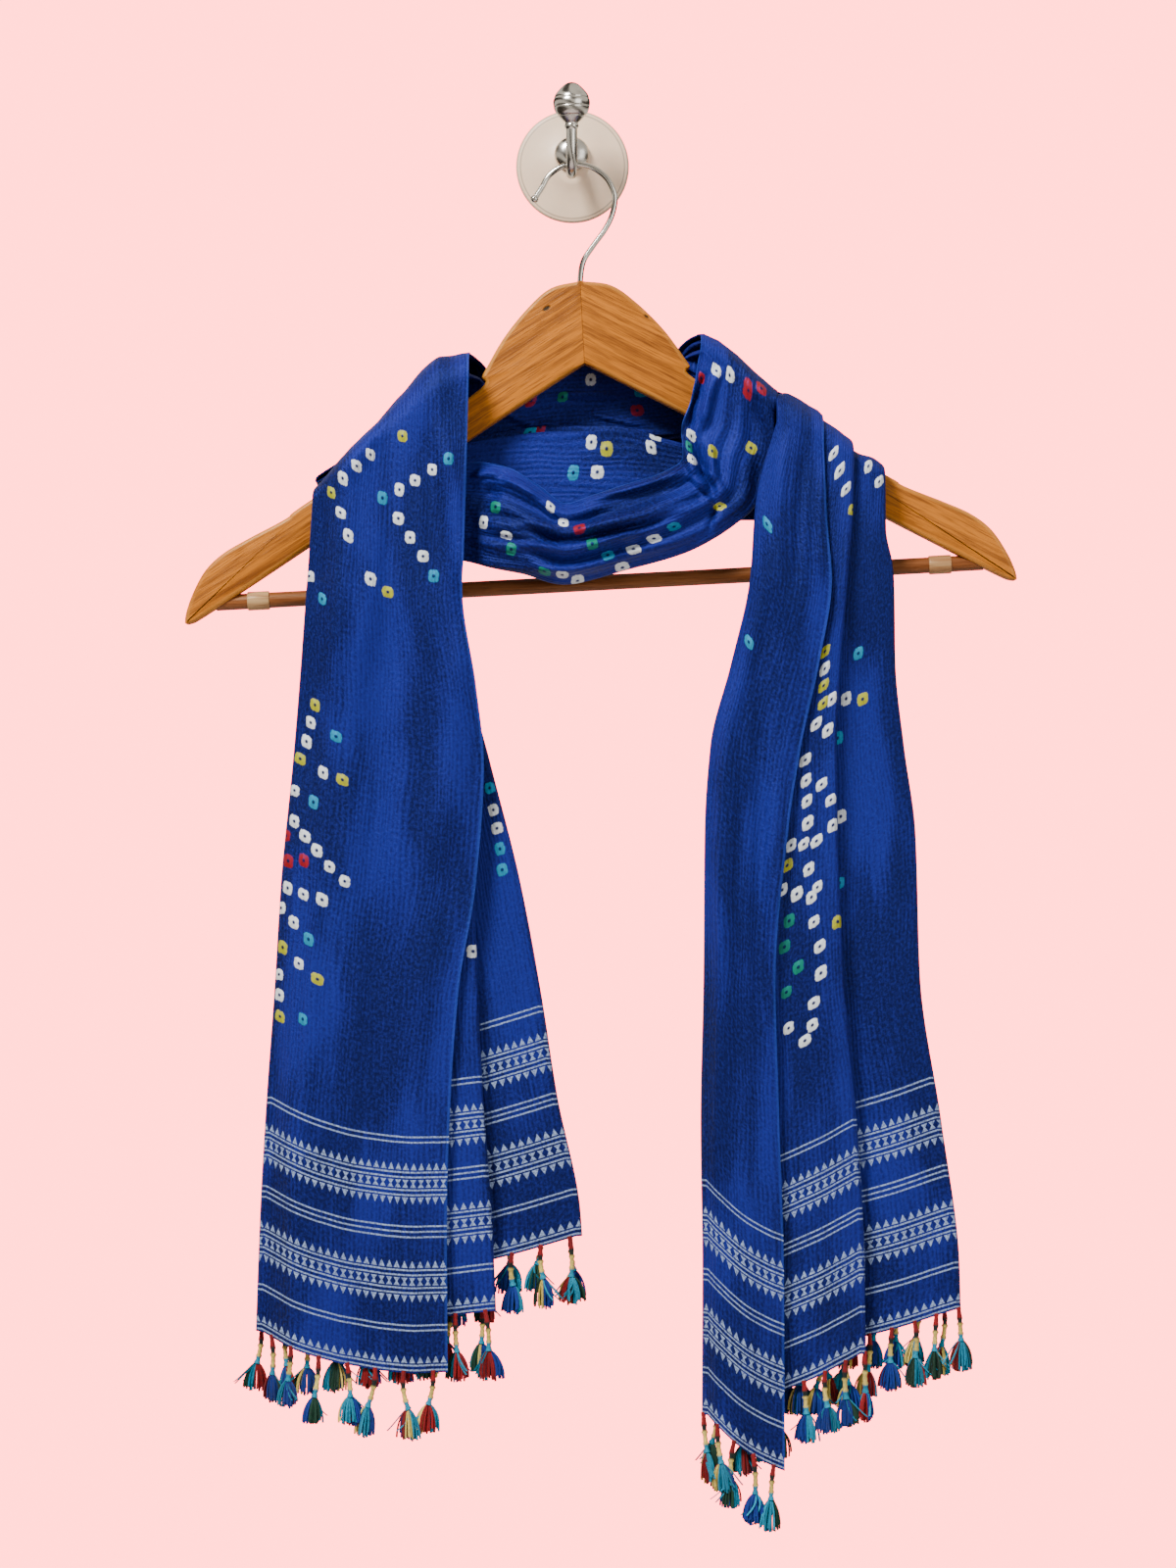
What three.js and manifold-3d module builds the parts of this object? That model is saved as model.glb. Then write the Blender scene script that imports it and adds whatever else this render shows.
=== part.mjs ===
// A long shawl wound once round a wooden clothes hanger that hangs on a suction cup wall hook.
// Millimetres, +Z up, +X to the right seen from the front, the wall is the plane y = 0 and all is in y < 0.
import * as THREE from 'three';
import Module from 'manifold-3d';

const { Manifold, Mesh: Solid } = await Module().then((wasm) => (wasm.setup(), wasm));

// ---- driving sizes ----
const CLOTH = 1.1;               // wall of the cloth
const SEAM = 0.3;                // gap between two stretches of the cloth
const HANG_Y = -32;              // plane that the hanger hangs in
const BOARD = 12;                // thickness of the hanger's boards
const BEVEL = 1.6;               // rounding of the boards' edges
const TILT = 3.04;               // turn of the hanger on its hook, degrees, right end up
const CROWN = [4.2, -66];        // x and z of the top of the hanger's crown
const BAR_R = 4.2;               // radius of the round bar
const BAR_Z = -161.2;            // its height below the crown
const BAR_HALF = 207;            // half of its length
const SLEEVE = { from: 178, to: 190, r: 5 };   // pale sleeve near each end of the bar
const WIRE_R = 1.5;              // radius of the hanger's wire hook
const WIRE_SOCKET = 12;          // depth of the wire in the wood
const LEFT_SHORT = 0.982;        // the left half of the hanger over the right half, in length
const CUP_R = 30.6;              // radius of the suction cup
const BOSS = { r: 9.4, z: 5.8 }; // radius and height of the boss in its middle
const HOOK_R = 2.9;              // radius of the wall hook's bar
const TASSELS = 38;              // tassels along one hem
const TASSEL = { cord: 19, skirt: 19, wide: 4.6, thick: 1.7, root: 1 };
const HEM = 2.2;                 // depth of the hem edge that carries the tassels
const TAIL_STEPS = 8;            // rows from the shoulder to the hem

const rad = (deg) => deg * Math.PI / 180;
const mix = (a, b, t) => a + (b - a) * t;
const clamp = (v, a, b) => Math.min(b, Math.max(a, v));
const ease = (t) => { const c = clamp(t, 0, 1); return c * c * (3 - 2 * c); };

// A table is a list of rows of the same columns. look() reads a row between two rows by its first column.
function look(table, key) {
  const up = table[0][0] < table[table.length - 1][0];
  let i = 0;
  while (i < table.length - 2 && (up ? key > table[i + 1][0] : key < table[i + 1][0])) i++;
  const t = clamp((key - table[i][0]) / (table[i + 1][0] - table[i][0]), 0, 1);
  return table[i].map((v, c) => mix(v, table[i + 1][c], t));
}

// ---- meshes from rings of points ----
// rings: closed loops of the same number of points; both ends are closed by the given lists of triangles.
function skin(rings, caps) {
  const n = rings[0].length;
  const at = rings.flat(2);
  const faces = [];
  for (let r = 0; r < rings.length - 1; r++) {
    for (let i = 0; i < n; i++) {
      const a = r * n + i, b = r * n + (i + 1) % n;
      faces.push(a, b, b + n, a, b + n, a + n);
    }
  }
  const last = (rings.length - 1) * n;
  for (const [a, b, c] of caps) faces.push(c, b, a, last + a, last + b, last + c);
  return { at, faces };
}

const fan = (n) => Array.from({ length: n - 2 }, (_, i) => [0, i + 1, i + 2]);

function geometry({ at, faces }) {
  const g = new THREE.BufferGeometry();
  g.setAttribute('position', new THREE.Float32BufferAttribute(at, 3));
  g.setIndex(faces);
  if (volume(at, faces) < 0) g.setIndex(faces.slice().reverse());
  g.computeVertexNormals();
  return g;
}

function volume(at, faces) {
  let v = 0;
  const p = (i) => new THREE.Vector3(at[3 * i], at[3 * i + 1], at[3 * i + 2]);
  for (let f = 0; f < faces.length; f += 3) {
    v += p(faces[f]).dot(p(faces[f + 1]).cross(p(faces[f + 2]))) / 6;
  }
  return v;
}

const solid = (g) => new Manifold(new Solid({
  numProp: 3,
  vertProperties: new Float32Array(g.attributes.position.array),
  triVerts: new Uint32Array(g.index.array),
}));

function unsolid(m) {
  const mesh = m.getMesh();
  const g = new THREE.BufferGeometry();
  g.setAttribute('position', new THREE.Float32BufferAttribute(mesh.vertProperties, 3));
  g.setIndex([...mesh.triVerts]);
  g.computeVertexNormals();
  return g;
}

// A tube of one radius along points that lie in the plane square to across.
function tube(points, radius, sides, across) {
  const rings = points.map((p, i) => {
    const a = points[Math.max(0, i - 1)], b = points[Math.min(points.length - 1, i + 1)];
    const way = new THREE.Vector3().subVectors(b, a).normalize();
    const side = new THREE.Vector3().crossVectors(way, across).normalize();
    return Array.from({ length: sides }, (_, k) => {
      const t = 2 * Math.PI * (k + 0.5) / sides;
      const out = p.clone().addScaledVector(side, radius * Math.cos(t));
      return out.addScaledVector(across, radius * Math.sin(t)).toArray();
    });
  });
  return geometry(skin(rings, fan(sides)));
}

// A turned shape round the line through (x, z) along y: rows of y and radius.
function turned(rows, x, z, sides) {
  const rings = rows.map(([y, r]) => Array.from({ length: sides }, (_, k) => {
    const t = 2 * Math.PI * k / sides;
    return [x + r * Math.cos(t), y, z + r * Math.sin(t)];
  }));
  return geometry(skin(rings, fan(sides)));
}

// ---- the hanger, in its own untilted frame: x from its middle, z from the top of the crown ----
const BOARD_EDGE = [             // x, z round the right half, from the top of the crown
  [0, 0], [16.2, -3.1], [29.3, -13.1], [43.5, -28.8], [55.5, -47.1], [63, -58.5],
  [152.9, -109.4], [166.5, -118.3], [186.9, -127.7], [201.5, -135.1], [212, -144], [219.9, -157],
  [224.1, -168.6], [222, -171.7], [208.9, -165.4], [152.9, -133], [50.8, -73.3], [0, -44],
];
const WIRE = [                   // x, z of the wire's centre line, from inside the wood to its tip
  [0, -12], [0, 0], [1.6, 10.5], [6.3, 18.3], [13.1, 27.7], [17, 35.6], [18.6, 44], [17, 50.5], [13.1, 56.5],
  [6.3, 61.2], [-0.5, 62.9], [-6.8, 62.6], [-12.6, 60.1], [-17.3, 56], [-20.4, 50.5], [-23.6, 45.5],
];

function hang(x, z, y = HANG_Y) {
  const c = Math.cos(rad(TILT)), s = Math.sin(rad(TILT));
  return new THREE.Vector3(CROWN[0] + x * c - z * s, y, CROWN[1] + x * s + z * c);
}

// One half of the hanger, with bevelled edges; the joint face in the middle stays flat.
function board(side) {
  const joint = SEAM / 2;
  const reach = side < 0 ? -LEFT_SHORT : 1;
  const edge = BOARD_EDGE.map(([x, z]) => [Math.max(x, joint), z]);
  const n = edge.length;
  const inward = edge.map(([x, z], i) => {
    const [ax, az] = edge[(i + n - 1) % n], [bx, bz] = edge[(i + 1) % n];
    if (x === joint) return [0, z === 0 ? -1 : 1];
    const out = new THREE.Vector2(az - bz, bx - ax).normalize();
    return [-out.x, -out.y];
  });
  const half = BOARD / 2;
  const rings = [[-half, BEVEL], [-half + BEVEL, 0], [half - BEVEL, 0], [half, BEVEL]].map(([y, inset]) => (
    edge.map(([x, z], i) => (
      hang(reach * (x + inward[i][0] * inset), z + inward[i][1] * inset, HANG_Y + y).toArray()))));
  const flat = edge.map(([x, z]) => new THREE.Vector2(x, z));
  const way = Math.sign(THREE.ShapeUtils.area(flat));
  const caps = THREE.ShapeUtils.triangulateShape(flat, []).map((t) => (
    Math.sign(THREE.ShapeUtils.area(t.map((k) => flat[k]))) === way ? t : [...t].reverse()));
  return geometry(skin(rings, caps));
}

function bar(from, to, r, hole = 0, sides = 16) {
  const ring = (x, radius) => Array.from({ length: sides }, (_, k) => {
    const t = 2 * Math.PI * k / sides;
    return hang(x, BAR_Z + radius * Math.sin(t), HANG_Y + radius * Math.cos(t)).toArray();
  });
  if (!hole) return geometry(skin([ring(from, r), ring(to, r)], fan(sides)));
  const rings = [ring(from, r), ring(to, r), ring(to, hole), ring(from, hole), ring(from, r)];
  const { at, faces } = skin(rings, []);
  const n = 4 * sides;
  return geometry({ at: at.slice(0, 3 * n), faces: faces.map((i) => i % n) });
}

// The wire hook stands upright on the tilted crown.
function wire(r, rows = WIRE) {
  const points = rows.map(([x, z]) => new THREE.Vector3(CROWN[0] + x, HANG_Y, CROWN[1] + z));
  return tube(points, r, 8, new THREE.Vector3(0, 1, 0));
}

// ---- the cloth ----
// One stretch is a run of sections. A section is one sheet folded into layers, the first layer furthest
// from the hanger. Its points are [u, d, s]: u along the section, d out from the hanger, and s the share of
// the surface's ridges that its layer takes.
const COUNTS = { tail: [11, 8, 5, 8, 5], swag: [14, 5, 5, 5, 4], back: [6, 5, 4, 4, 4] };
const SHARES = { tail: [1, 0.8, 0.6, 0.45, 0.3], swag: [1, 0, 0, 0, 0], back: [1, 0.6, 0.4, 0.2, 0] };
const FOLD = [rad(55), rad(125)];

function pleats(turns, gap, kind) {
  const counts = COUNTS[kind], shares = SHARES[kind];
  const points = [];
  const last = turns.length - 2;
  for (let k = 0; k <= last; k++) {
    const way = Math.sign(turns[k + 1] - turns[k]);
    const from = turns[k] + (k ? way * gap / 2 : 0);
    const to = turns[k + 1] - (k < last ? way * gap / 2 : 0);
    const d = (last - k) * gap;
    for (let i = 0; i <= counts[k]; i++) points.push([mix(from, to, i / counts[k]), d, shares[k]]);
    if (k < last) {
      FOLD.forEach((a, i) => points.push([to + way * Math.sin(a) * gap / 2, d - (1 - Math.cos(a)) * gap / 2,
        mix(shares[k], shares[k + 1], (i + 1) / 3)]));
    }
  }
  return points;
}

// Both sides of the cloth through one section: points moved half the wall to either side.
function sides(points) {
  return points.map(([u, d], i) => {
    const a = points[Math.max(0, i - 1)], b = points[Math.min(points.length - 1, i + 1)];
    const len = Math.hypot(b[0] - a[0], b[1] - a[1]);
    const n = [-(b[1] - a[1]) / len, (b[0] - a[0]) / len];
    return [1, -1].map((s) => [u + s * n[0] * CLOTH / 2, d + s * n[1] * CLOTH / 2]);
  });
}

// The wall of cloth through all rows. section(row, column) gives the points of the section through a
// column, and place(row, u, d, column) gives a point in space.
function sheet(rows, section, place) {
  const rings = rows.map((row) => {
    const both = section(row, 0).map((_, i) => sides(section(row, i))[i]);
    const n = both.length;
    const ring = [...both.map((b) => b[0]), ...both.map((b) => b[1]).reverse()];
    return ring.map(([u, d], k) => place(row, u, d, k < n ? k : 2 * n - 1 - k));
  });
  const n = rings[0].length / 2;
  const caps = [];
  for (let i = 0; i < n - 1; i++) caps.push([i, i + 1, 2 * n - 2 - i], [i, 2 * n - 2 - i, 2 * n - 1 - i]);
  return geometry(skin(rings, caps));
}

// Soft ridges and troughs that the layers share: rows of place at the start and end, half width, depth.
function wave(creases, u, v) {
  let d = 0;
  for (const [top, hem, half, deep] of creases) {
    const t = (u - mix(top, hem, v)) / half;
    if (Math.abs(t) < 1) d += deep * (1 + Math.cos(Math.PI * t)) / 2 * mix(0.6, 1, v);
  }
  return d;
}

// A tail hangs over the arm of the hanger, which gives it an axis, an outline (crest) and a height of the
// pile of layers, all as x and the value there. rows has one row for each height, with the columns z, x of
// the free edge a, x of the folds b, c, d and e, x of the far edge f, pitch of the layers, least depth from
// the hanger. hem has z at a to f, and hemSag how far the hem sags between them.
const LEFT = {
  axis: [[-137.2, -184.5], [-54.5, -119]],
  pile: [[-137.2, 5.7], [-131, 7.2], [-121, 10.9], [-115, 12]],
  crest: [[-139.3, -178.4], [-129.8, -169.6], [-119.4, -159.1], [-107.3, -144.5], [-93.7, -128.3],
    [-80.6, -115.2], [-71.2, -107.8], [-59.2, -104.7], [-45.5, -103.1]],
  rows: [
    [-190, -54.5, -137.2, -62.9, -108.3, -57.0, -106.2, 3.0, 18],
    [-231, -57.9, -140.3, -62.9, -116.1, -61.3, -114.0, 3.0, 18],
    [-283, -50.7, -144.4, -56.7, -121.2, -54.0, -120.8, 3.6, 13.5],
    [-324, -46.6, -148.0, -53.6, -123.8, -43.6, -121.8, 4.0, 10.5],
    [-386, -50.7, -154.2, -52.1, -126.4, -28.0, -120.8, 4.4, 9],
    [-444, -60.0, -157.8, -50.0, -129.0, -17.1, -116.6, 4.8, 8],
    [-500, -64.1, -161.9, -47.4, -130.1, -8.3, -108.8, 5.2, 7],
    [-563, -66.1, -165.5, -42.8, -130.6, 4.2, -103.6, 5.6, 6],
    [-650, -65.6, -168.6, -39.2, -131.6, 8.4, -95.8, 5.8, 5],
  ],
  hem: [-644.9, -624.9, -613.4, -603.2, -575.1, -569.4],
  hemSag: [7, 1, 1, 3, 0],
  start: -217,
  creases: [[-121, -143, 17, 3.4], [-97, -112, 15, -3.2], [-75, -84, 14, 3], [-30, 0, 13, -2.6],
    [-18, -26, 9, 2]],
  roll: [22, 2.1],
};
const RIGHT = {
  axis: [[40, -109.1], [190, -183.7]],
  pile: [[108.4, 6.7], [117, 9.6], [133, 9.6], [149, 4.8], [160, 2.4]],
  crest: [[113.1, -126.8], [120.9, -129.9], [130.4, -134.6], [144.5, -150.3], [152.9, -156.6],
    [161.2, -161.5], [168, -165.5]],
  rows: [
    [-150, 132.8, 108.4, 148.8, 116.0, 165.6, 112.0, 2.4, 20],
    [-192, 134.3, 97.1, 147.8, 108.0, 166.0, 104.0, 2.7, 20],
    [-227, 136.9, 94.1, 145.3, 104.0, 170.3, 100.0, 3.0, 19],
    [-271, 130.3, 84.3, 141.8, 98.0, 171.3, 94.0, 3.5, 15],
    [-314, 121.0, 73.5, 139.8, 91.0, 176.0, 86.0, 3.9, 12],
    [-360, 113.9, 70.5, 140.4, 88.0, 182.2, 82.0, 4.2, 10.5],
    [-437, 107.2, 69.9, 144.0, 88.0, 184.8, 80.0, 4.6, 9],
    [-514, 109.3, 68.4, 150.8, 90.0, 196.2, 80.0, 5.0, 7.5],
    [-591, 111.8, 69.4, 154.9, 92.0, 206.0, 80.0, 5.4, 6],
    [-700, 112.3, 68.9, 156.0, 92.0, 208.1, 80.0, 5.8, 5],
  ],
  hem: [-697.1, -668.4, -636.4, -640.0, -614.0, -606.0],
  hemSag: [4, 3, -2, 3, 0],
  start: -214,
  creases: [[116, 86, 13, 2.4], [143, 128, 13, 3], [152, 153, 9, -2.4], [158, 176, 13, 2.8], [168, 196, 9, -2]],
  roll: [9, 1.2],
};

const BEND = [0, 30, 60, 90];    // degrees round the arm, from its top to its front or back
const ARCH = 2 / 2.6;            // squareness of the bend over the arm
const SWELL = 1.2;               // bulge of a strand's section over its swell
const FRONT = -1, REAR = 1;

// How far a section rolls back towards the wall at its outer folded edge.
function roll({ roll: [wide, deep] }, b, u, gap) {
  return u < b + wide ? -deep * gap * (1 - ease((u - b) / wide)) : 0;
}

function tailSection(tail, z, v) {
  const [, a, b, c, d, e, f, gap] = look(tail.rows, z);
  return pleats([a, b, c, d, e, f], gap, 'tail').map(([u, depth, share]) => [
    u, depth + share * wave(tail.creases, u, v) + roll(tail, b, u, gap),
  ]);
}

// The bend over the arm is a squared arch: how far up and how far out it is at an angle.
const arch = (deg) => [Math.cos(rad(deg)) ** ARCH, Math.sin(rad(deg)) ** ARCH];

// A point of the bend over a shoulder: its middle line is axis, its outermost layer reaches crest.
function overArm({ axis, crest, pile }, side, deg, reach, x, d) {
  const [up, out] = arch(deg);
  const middle = look(axis, x)[1];
  const over = look(crest, x)[1] - middle - look(pile, x)[1] - CLOTH / 2;
  return [x, HANG_Y + side * (reach + d) * out, middle + (over + d) * up];
}

// Rows of a tail: the bend, two rows that level out, then rows down to the hem.
function tailRows(steps) {
  const bend = BEND.map((deg) => ({ deg, lean: 1, v: 0 }));
  const level = [0.5, 0].map((lean) => ({ deg: 90, lean, v: 0 }));
  const down = Array.from({ length: steps }, (_, i) => ({ deg: 90, lean: 0, v: ((i + 1) / steps) ** 0.9 }));
  return [...bend, ...level, ...down];
}

function hemAt(tail, column) {
  let k = 0, i = column;
  while (k < COUNTS.tail.length - 1 && i > COUNTS.tail[k] + 1.5) i -= COUNTS.tail[k++] + 1 + FOLD.length;
  const t = clamp(i / COUNTS.tail[k], 0, 1);
  return mix(tail.hem[k], tail.hem[k + 1], t) - tail.hemSag[k] * Math.sin(Math.PI * t);
}

const tailZ = (tail, row, column) => mix(tail.start, hemAt(tail, column), row.v);

function tailPlace(tail, row, u, d, column) {
  const z = tailZ(tail, row, column);
  const reach = look(tail.rows, z)[8];
  const p = overArm(tail, FRONT, row.deg, reach, u, d);
  return row.lean === 1 ? p : [p[0], p[1], mix(z, look(tail.axis, u)[1], row.lean)];
}

function tailSheet(tail) {
  const section = (row, i) => tailSection(tail, row.lean ? tail.rows[0][0] : tailZ(tail, row, i), row.v);
  return sheet(tailRows(TAIL_STEPS), section, (row, u, d, i) => {
    const [x, y, z] = tailPlace(tail, row, u, d, i);
    return [x, y - (row.deg ? 0 : SEAM / 2), z + (row.v === 1 ? HEM + SEAM : 0)];
  });
}

// A strand runs from shoulder to shoulder. Its rows have the columns x and z of the lower edge, x and z of
// the upper edge, least depth, pitch of the layers, swell. The rows of the bends at its ends have the columns
// angle, x of the lower edge, x of the upper edge, least depth, pitch, swell. start and end place the folds,
// as shares of the section from its lower edge.
function strandSheet({ side, kind, rows, from, to, start, end, creases }) {
  const place = (row, u, d) => {
    const [xl, zl, xu, zu, reach] = row.at;
    const q = u / row.wide;
    const x = mix(xl, xu, q);
    const [px, py, pz] = row.over ? overArm(row.over, side, row.deg, reach, x, d)
      : [x, HANG_Y + side * (reach + d), mix(zl, zu, q)];
    return [px, py + (row.deg === 0 ? side * SEAM / 2 : 0), pz];
  };
  const bends = (over, list) => list.map(([deg, xl, xu, reach, gap, swell]) => (
    { over, deg, at: [xl, 0, xu, 0, reach, gap, swell], wide: Math.abs(xu - xl) }));
  const all = [
    ...(from ? bends(from.over, from.rows) : []),
    ...rows.map((at) => ({ at, wide: Math.hypot(at[2] - at[0], at[3] - at[1]) })),
    ...(to ? bends(to.over, to.rows) : []),
  ];
  all.forEach((row, i) => { row.t = i / (all.length - 1); });
  const section = (row) => {
    const turns = start.map((q, k) => mix(q, end[k], row.t) * row.wide);
    return pleats(turns, row.at[5], kind).map(([u, d, share]) => {
      const q = clamp(u / row.wide, 0, 1);
      return [u, d + row.at[6] * (SWELL * Math.sin(Math.PI * q) + share * wave(creases, q, row.t))];
    });
  };
  return sheet(all, section, place);
}

const NECK = {                   // the shoulder beside the crown, where back wrap 1 turns into the front wrap
  axis: [[70, -107], [106.5, -137]],
  crest: [[56, -96.5], [64, -94.4], [70, -94], [78, -97.5], [87.9, -105.2], [96.8, -113.8], [108, -123.5]],
  pile: [[70, 9.6], [110, 9.6]],
};
const LOOSE = [0.97, 0.02, 0.92, 0.06, 0.88, 0.1];

const BACK_1 = {
  side: REAR,
  kind: 'back',
  from: {
    over: LEFT,
    rows: [[0, -137.2, -54.5, 14, 3.0, 0], [30, -137.2, -54.5, 14, 3.0, 0], [60, -137.2, -54.5, 14.4, 3.0, 0],
      [90, -137.2, -54.5, 15, 2.9, 0.1]],
  },
  rows: [
    [-106, -186, -34, -109, 16, 2.5, 0.4],
    [-62, -178, -20, -104, 17, 2.2, 0.8],
    [-15, -166, -4, -104, 18, 2.1, 0.8],
    [25, -161, 18, -103, 18, 2.1, 0.8],
    [58, -158, 38, -99, 16.5, 2.2, 0.7],
    [88, -153, 57, -101, 14, 2.4, 0.3],
  ],
  to: {
    over: NECK,
    rows: [[90, 106.5, 61, 12, 2.4, 0], [60, 106.5, 62, 12, 2.4, 0], [30, 106.5, 65, 12, 2.4, 0],
      [0, 106.5, 68, 12, 2.4, 0]],
  },
  start: [1, 0, 0.898, 0.35, 0.97, 0.375],
  end: LOOSE,
  creases: [[0.2, 0.26, 0.18, 1], [0.5, 0.52, 0.16, 0.8], [0.8, 0.78, 0.16, 0.9]],
};
const FRONT_WRAP = {
  side: FRONT,
  kind: 'swag',
  from: {
    over: NECK,
    rows: [[0, 106.5, 68, 12, 2.4, 0], [30, 106.5, 68, 12, 2.4, 0], [60, 106, 67, 11, 2.4, 0.4],
      [90, 105.5, 66, 9, 2.3, 1]],
  },
  rows: [
    [105, -158, 62, -129, 8, 2.2, 2],
    [103, -173, 56.5, -146, 8, 2.2, 3],
    [98, -187, 57.5, -160, 8, 2.2, 4],
    [86, -198, 46, -169, 8, 2.4, 5.5],
    [62, -212, 27, -175, 9, 2.6, 7],
    [30, -221.5, 11, -180.5, 10, 2.7, 8],
    [-4, -229.5, -3, -184.5, 10, 2.7, 8],
    [-26, -224, -18, -174.6, 9.5, 2.6, 6.5],
    [-42, -221, -35, -164.5, 9, 2.3, 4],
    [-57, -217, -52, -162, 7.5, 1.85, 0.4],
    [-84, -213, -72, -162, 7.2, 1.75, 0],
    [-112, -206, -84, -158, 7.2, 1.75, 0],
  ],
  start: LOOSE,
  end: LOOSE,
  creases: [[0.2, 0.16, 0.11, 0.5], [0.42, 0.36, 0.11, 0.6], [0.62, 0.58, 0.11, 0.6], [0.84, 0.83, 0.13, 0.8]],
};
const BACK_2 = {
  side: REAR,
  kind: 'back',
  rows: [
    [-100, -192, -72, -152, 7.2, 1.55, 0],
    [-60, -196, -45, -146, 7.4, 1.8, 0],
    [-20, -199, -10, -141, 7.5, 1.9, 0.2],
    [20, -198, 20, -141, 7.5, 1.9, 0.2],
    [60, -194, 52, -149, 7.5, 1.9, 0],
    [100, -193, 82, -157, 9, 2.0, 0],
    [146, -194, 103, -161, 11, 2.2, 0],
  ],
  to: {
    over: RIGHT,
    rows: [[90, 165.6, 108.4, 12.5, 2.4, 0], [60, 165.6, 108.4, 12.5, 2.4, 0], [30, 165.6, 108.4, 12.5, 2.4, 0],
      [0, 165.6, 108.4, 12.5, 2.4, 0]],
  },
  start: [0.3, 0.98, 0.15, 0.9, 0.02, 0.92],
  end: [0.573, 1, 0.294, 0.867, 0, 0.937],
  creases: [[0.25, 0.25, 0.16, 1], [0.52, 0.55, 0.15, 0.8], [0.8, 0.8, 0.15, 1]],
};

// ---- the hem edge with its tassels ----
function fringe(tail) {
  const row = { deg: 90, lean: 0, v: 1 };
  const section = (column) => tailSection(tail, hemAt(tail, column), 1);
  const strip = sheet([HEM, 0], (lift, i) => section(i), (lift, u, d, i) => {
    const [x, y, z] = tailPlace(tail, row, u, d, i);
    return [x, y, z + lift];
  });
  const edge = section(0).map((_, i) => {
    const [u, d] = section(i)[i];
    return new THREE.Vector3(...tailPlace(tail, row, u, d, i));
  });
  const run = [0];
  edge.slice(1).forEach((p, i) => run.push(run[i] + p.distanceTo(edge[i])));
  let all = solid(strip);
  for (let k = 0; k < TASSELS; k++) {
    const s = run[run.length - 1] * (k + 0.5) / TASSELS;
    const i = run.findIndex((r) => r > s);
    const a = edge[i - 1], b = edge[i];
    const top = a.clone().lerp(b, (s - run[i - 1]) / (run[i] - run[i - 1]));
    const way = new THREE.Vector3(b.x - a.x, b.y - a.y, 0).normalize();
    all = all.add(solid(tassel(top, way, k)));
  }
  return unsolid(all);
}

// One tassel is one lock of four sides: a thin cord that widens into a skirt of threads.
function tassel(top, way, k) {
  const across = new THREE.Vector3(-way.y, way.x, 0);
  const sway = 1.2 * Math.sin(2.4 * k), long = 1 + 0.08 * Math.sin(1.7 * k + 1);
  const { cord, skirt, wide, thick, root } = TASSEL;
  const rows = [[root, 0.7, 0.5], [-cord * long, 1.1, 0.9], [-(cord + skirt) * long, wide, thick]];
  const rings = rows.map(([z, w, h]) => [[1, 1], [-1, 1], [-1, -1], [1, -1]].map(([p, q]) => {
    const side = way.clone().multiplyScalar(p * w + sway * clamp(-z / cord, 0, 1));
    return top.clone().add(side).addScaledVector(across, q * h).add(new THREE.Vector3(0, 0, z)).toArray();
  }));
  return geometry(skin(rings, fan(4)));
}

// ---- the wall hook ----
const CUP_ROWS = [[0, 28], [-2, CUP_R], [-3.2, CUP_R - 0.6], [-4.6, 20], [-7.5, 10.6], [-8, 8.5]];
const HOOK_X = -0.3;             // the hook hangs this far beside the middle of the cup
const BOSS_ROWS = [[-8.3, 8.6], [-9.3, BOSS.r], [-11.5, BOSS.r - 0.8], [-14, 4]];
const J_WAY = [                  // y, z of the hook's bar, from the boss down and up again at the front
  [-13, 5.8], [-17, 4.6], [-20, 1], [-22.5, -3.7], [-26.5, -6.9], [-32, -7.9], [-37.5, -6.5], [-41.5, -2.6],
  [-43.5, 3], [-44, 10], [-44, 17],
];
const BALL_ROWS = [[13.8, 2.6], [15.7, 3.6], [17.2, 3.8], [19.1, 5.4], [21.4, 7.6], [24.4, 9.3], [27.5, 9.8],
  [30.5, 9.2], [33.6, 7.6], [35.9, 5.5], [37.7, 3.4], [38.6, 1.2]];

function wallHook() {
  const way = J_WAY.map(([y, z]) => new THREE.Vector3(HOOK_X, y, z));
  const bent = tube(way, HOOK_R, 8, new THREE.Vector3(1, 0, 0));
  const [ballY] = J_WAY[J_WAY.length - 1];
  const ball = geometry(skin(BALL_ROWS.map(([z, r]) => Array.from({ length: 12 }, (_, k) => {
    const t = 2 * Math.PI * k / 12;
    return [HOOK_X + r * Math.cos(t), ballY + r * Math.sin(t), z];
  })), fan(12)));
  const boss = turned(BOSS_ROWS, HOOK_X, BOSS.z, 20);
  return unsolid(Manifold.union([solid(boss), solid(bent), solid(ball)]));
}

const nodes = [];
const material = (color, roughness, metalness = 0) => (
  new THREE.MeshStandardMaterial({ color, roughness, metalness }));
const MATERIALS = {
  silk: material(0x16419f, 0.55),
  fringe: material(0x1d5f8c, 0.8),
  wood: material(0xc48c50, 0.4),
  bar: material(0xb98a54, 0.5),
  sleeve: material(0xdcc9a0, 0.5),
  chrome: material(0xc9ccd0, 0.2, 1),
  cup: material(0xe6ddd4, 0.35),
};
function node(name, slot, geo) {
  const mesh = new THREE.Mesh(geo, MATERIALS[slot]);
  mesh.name = name;
  nodes.push(mesh);
}

const wireSocket = solid(wire(WIRE_R + SEAM, [[0, -WIRE_SOCKET - SEAM], [0, 3]]));
const barSocket = solid(bar(-BAR_HALF * LEFT_SHORT - SEAM, BAR_HALF + SEAM, BAR_R + SEAM));

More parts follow.
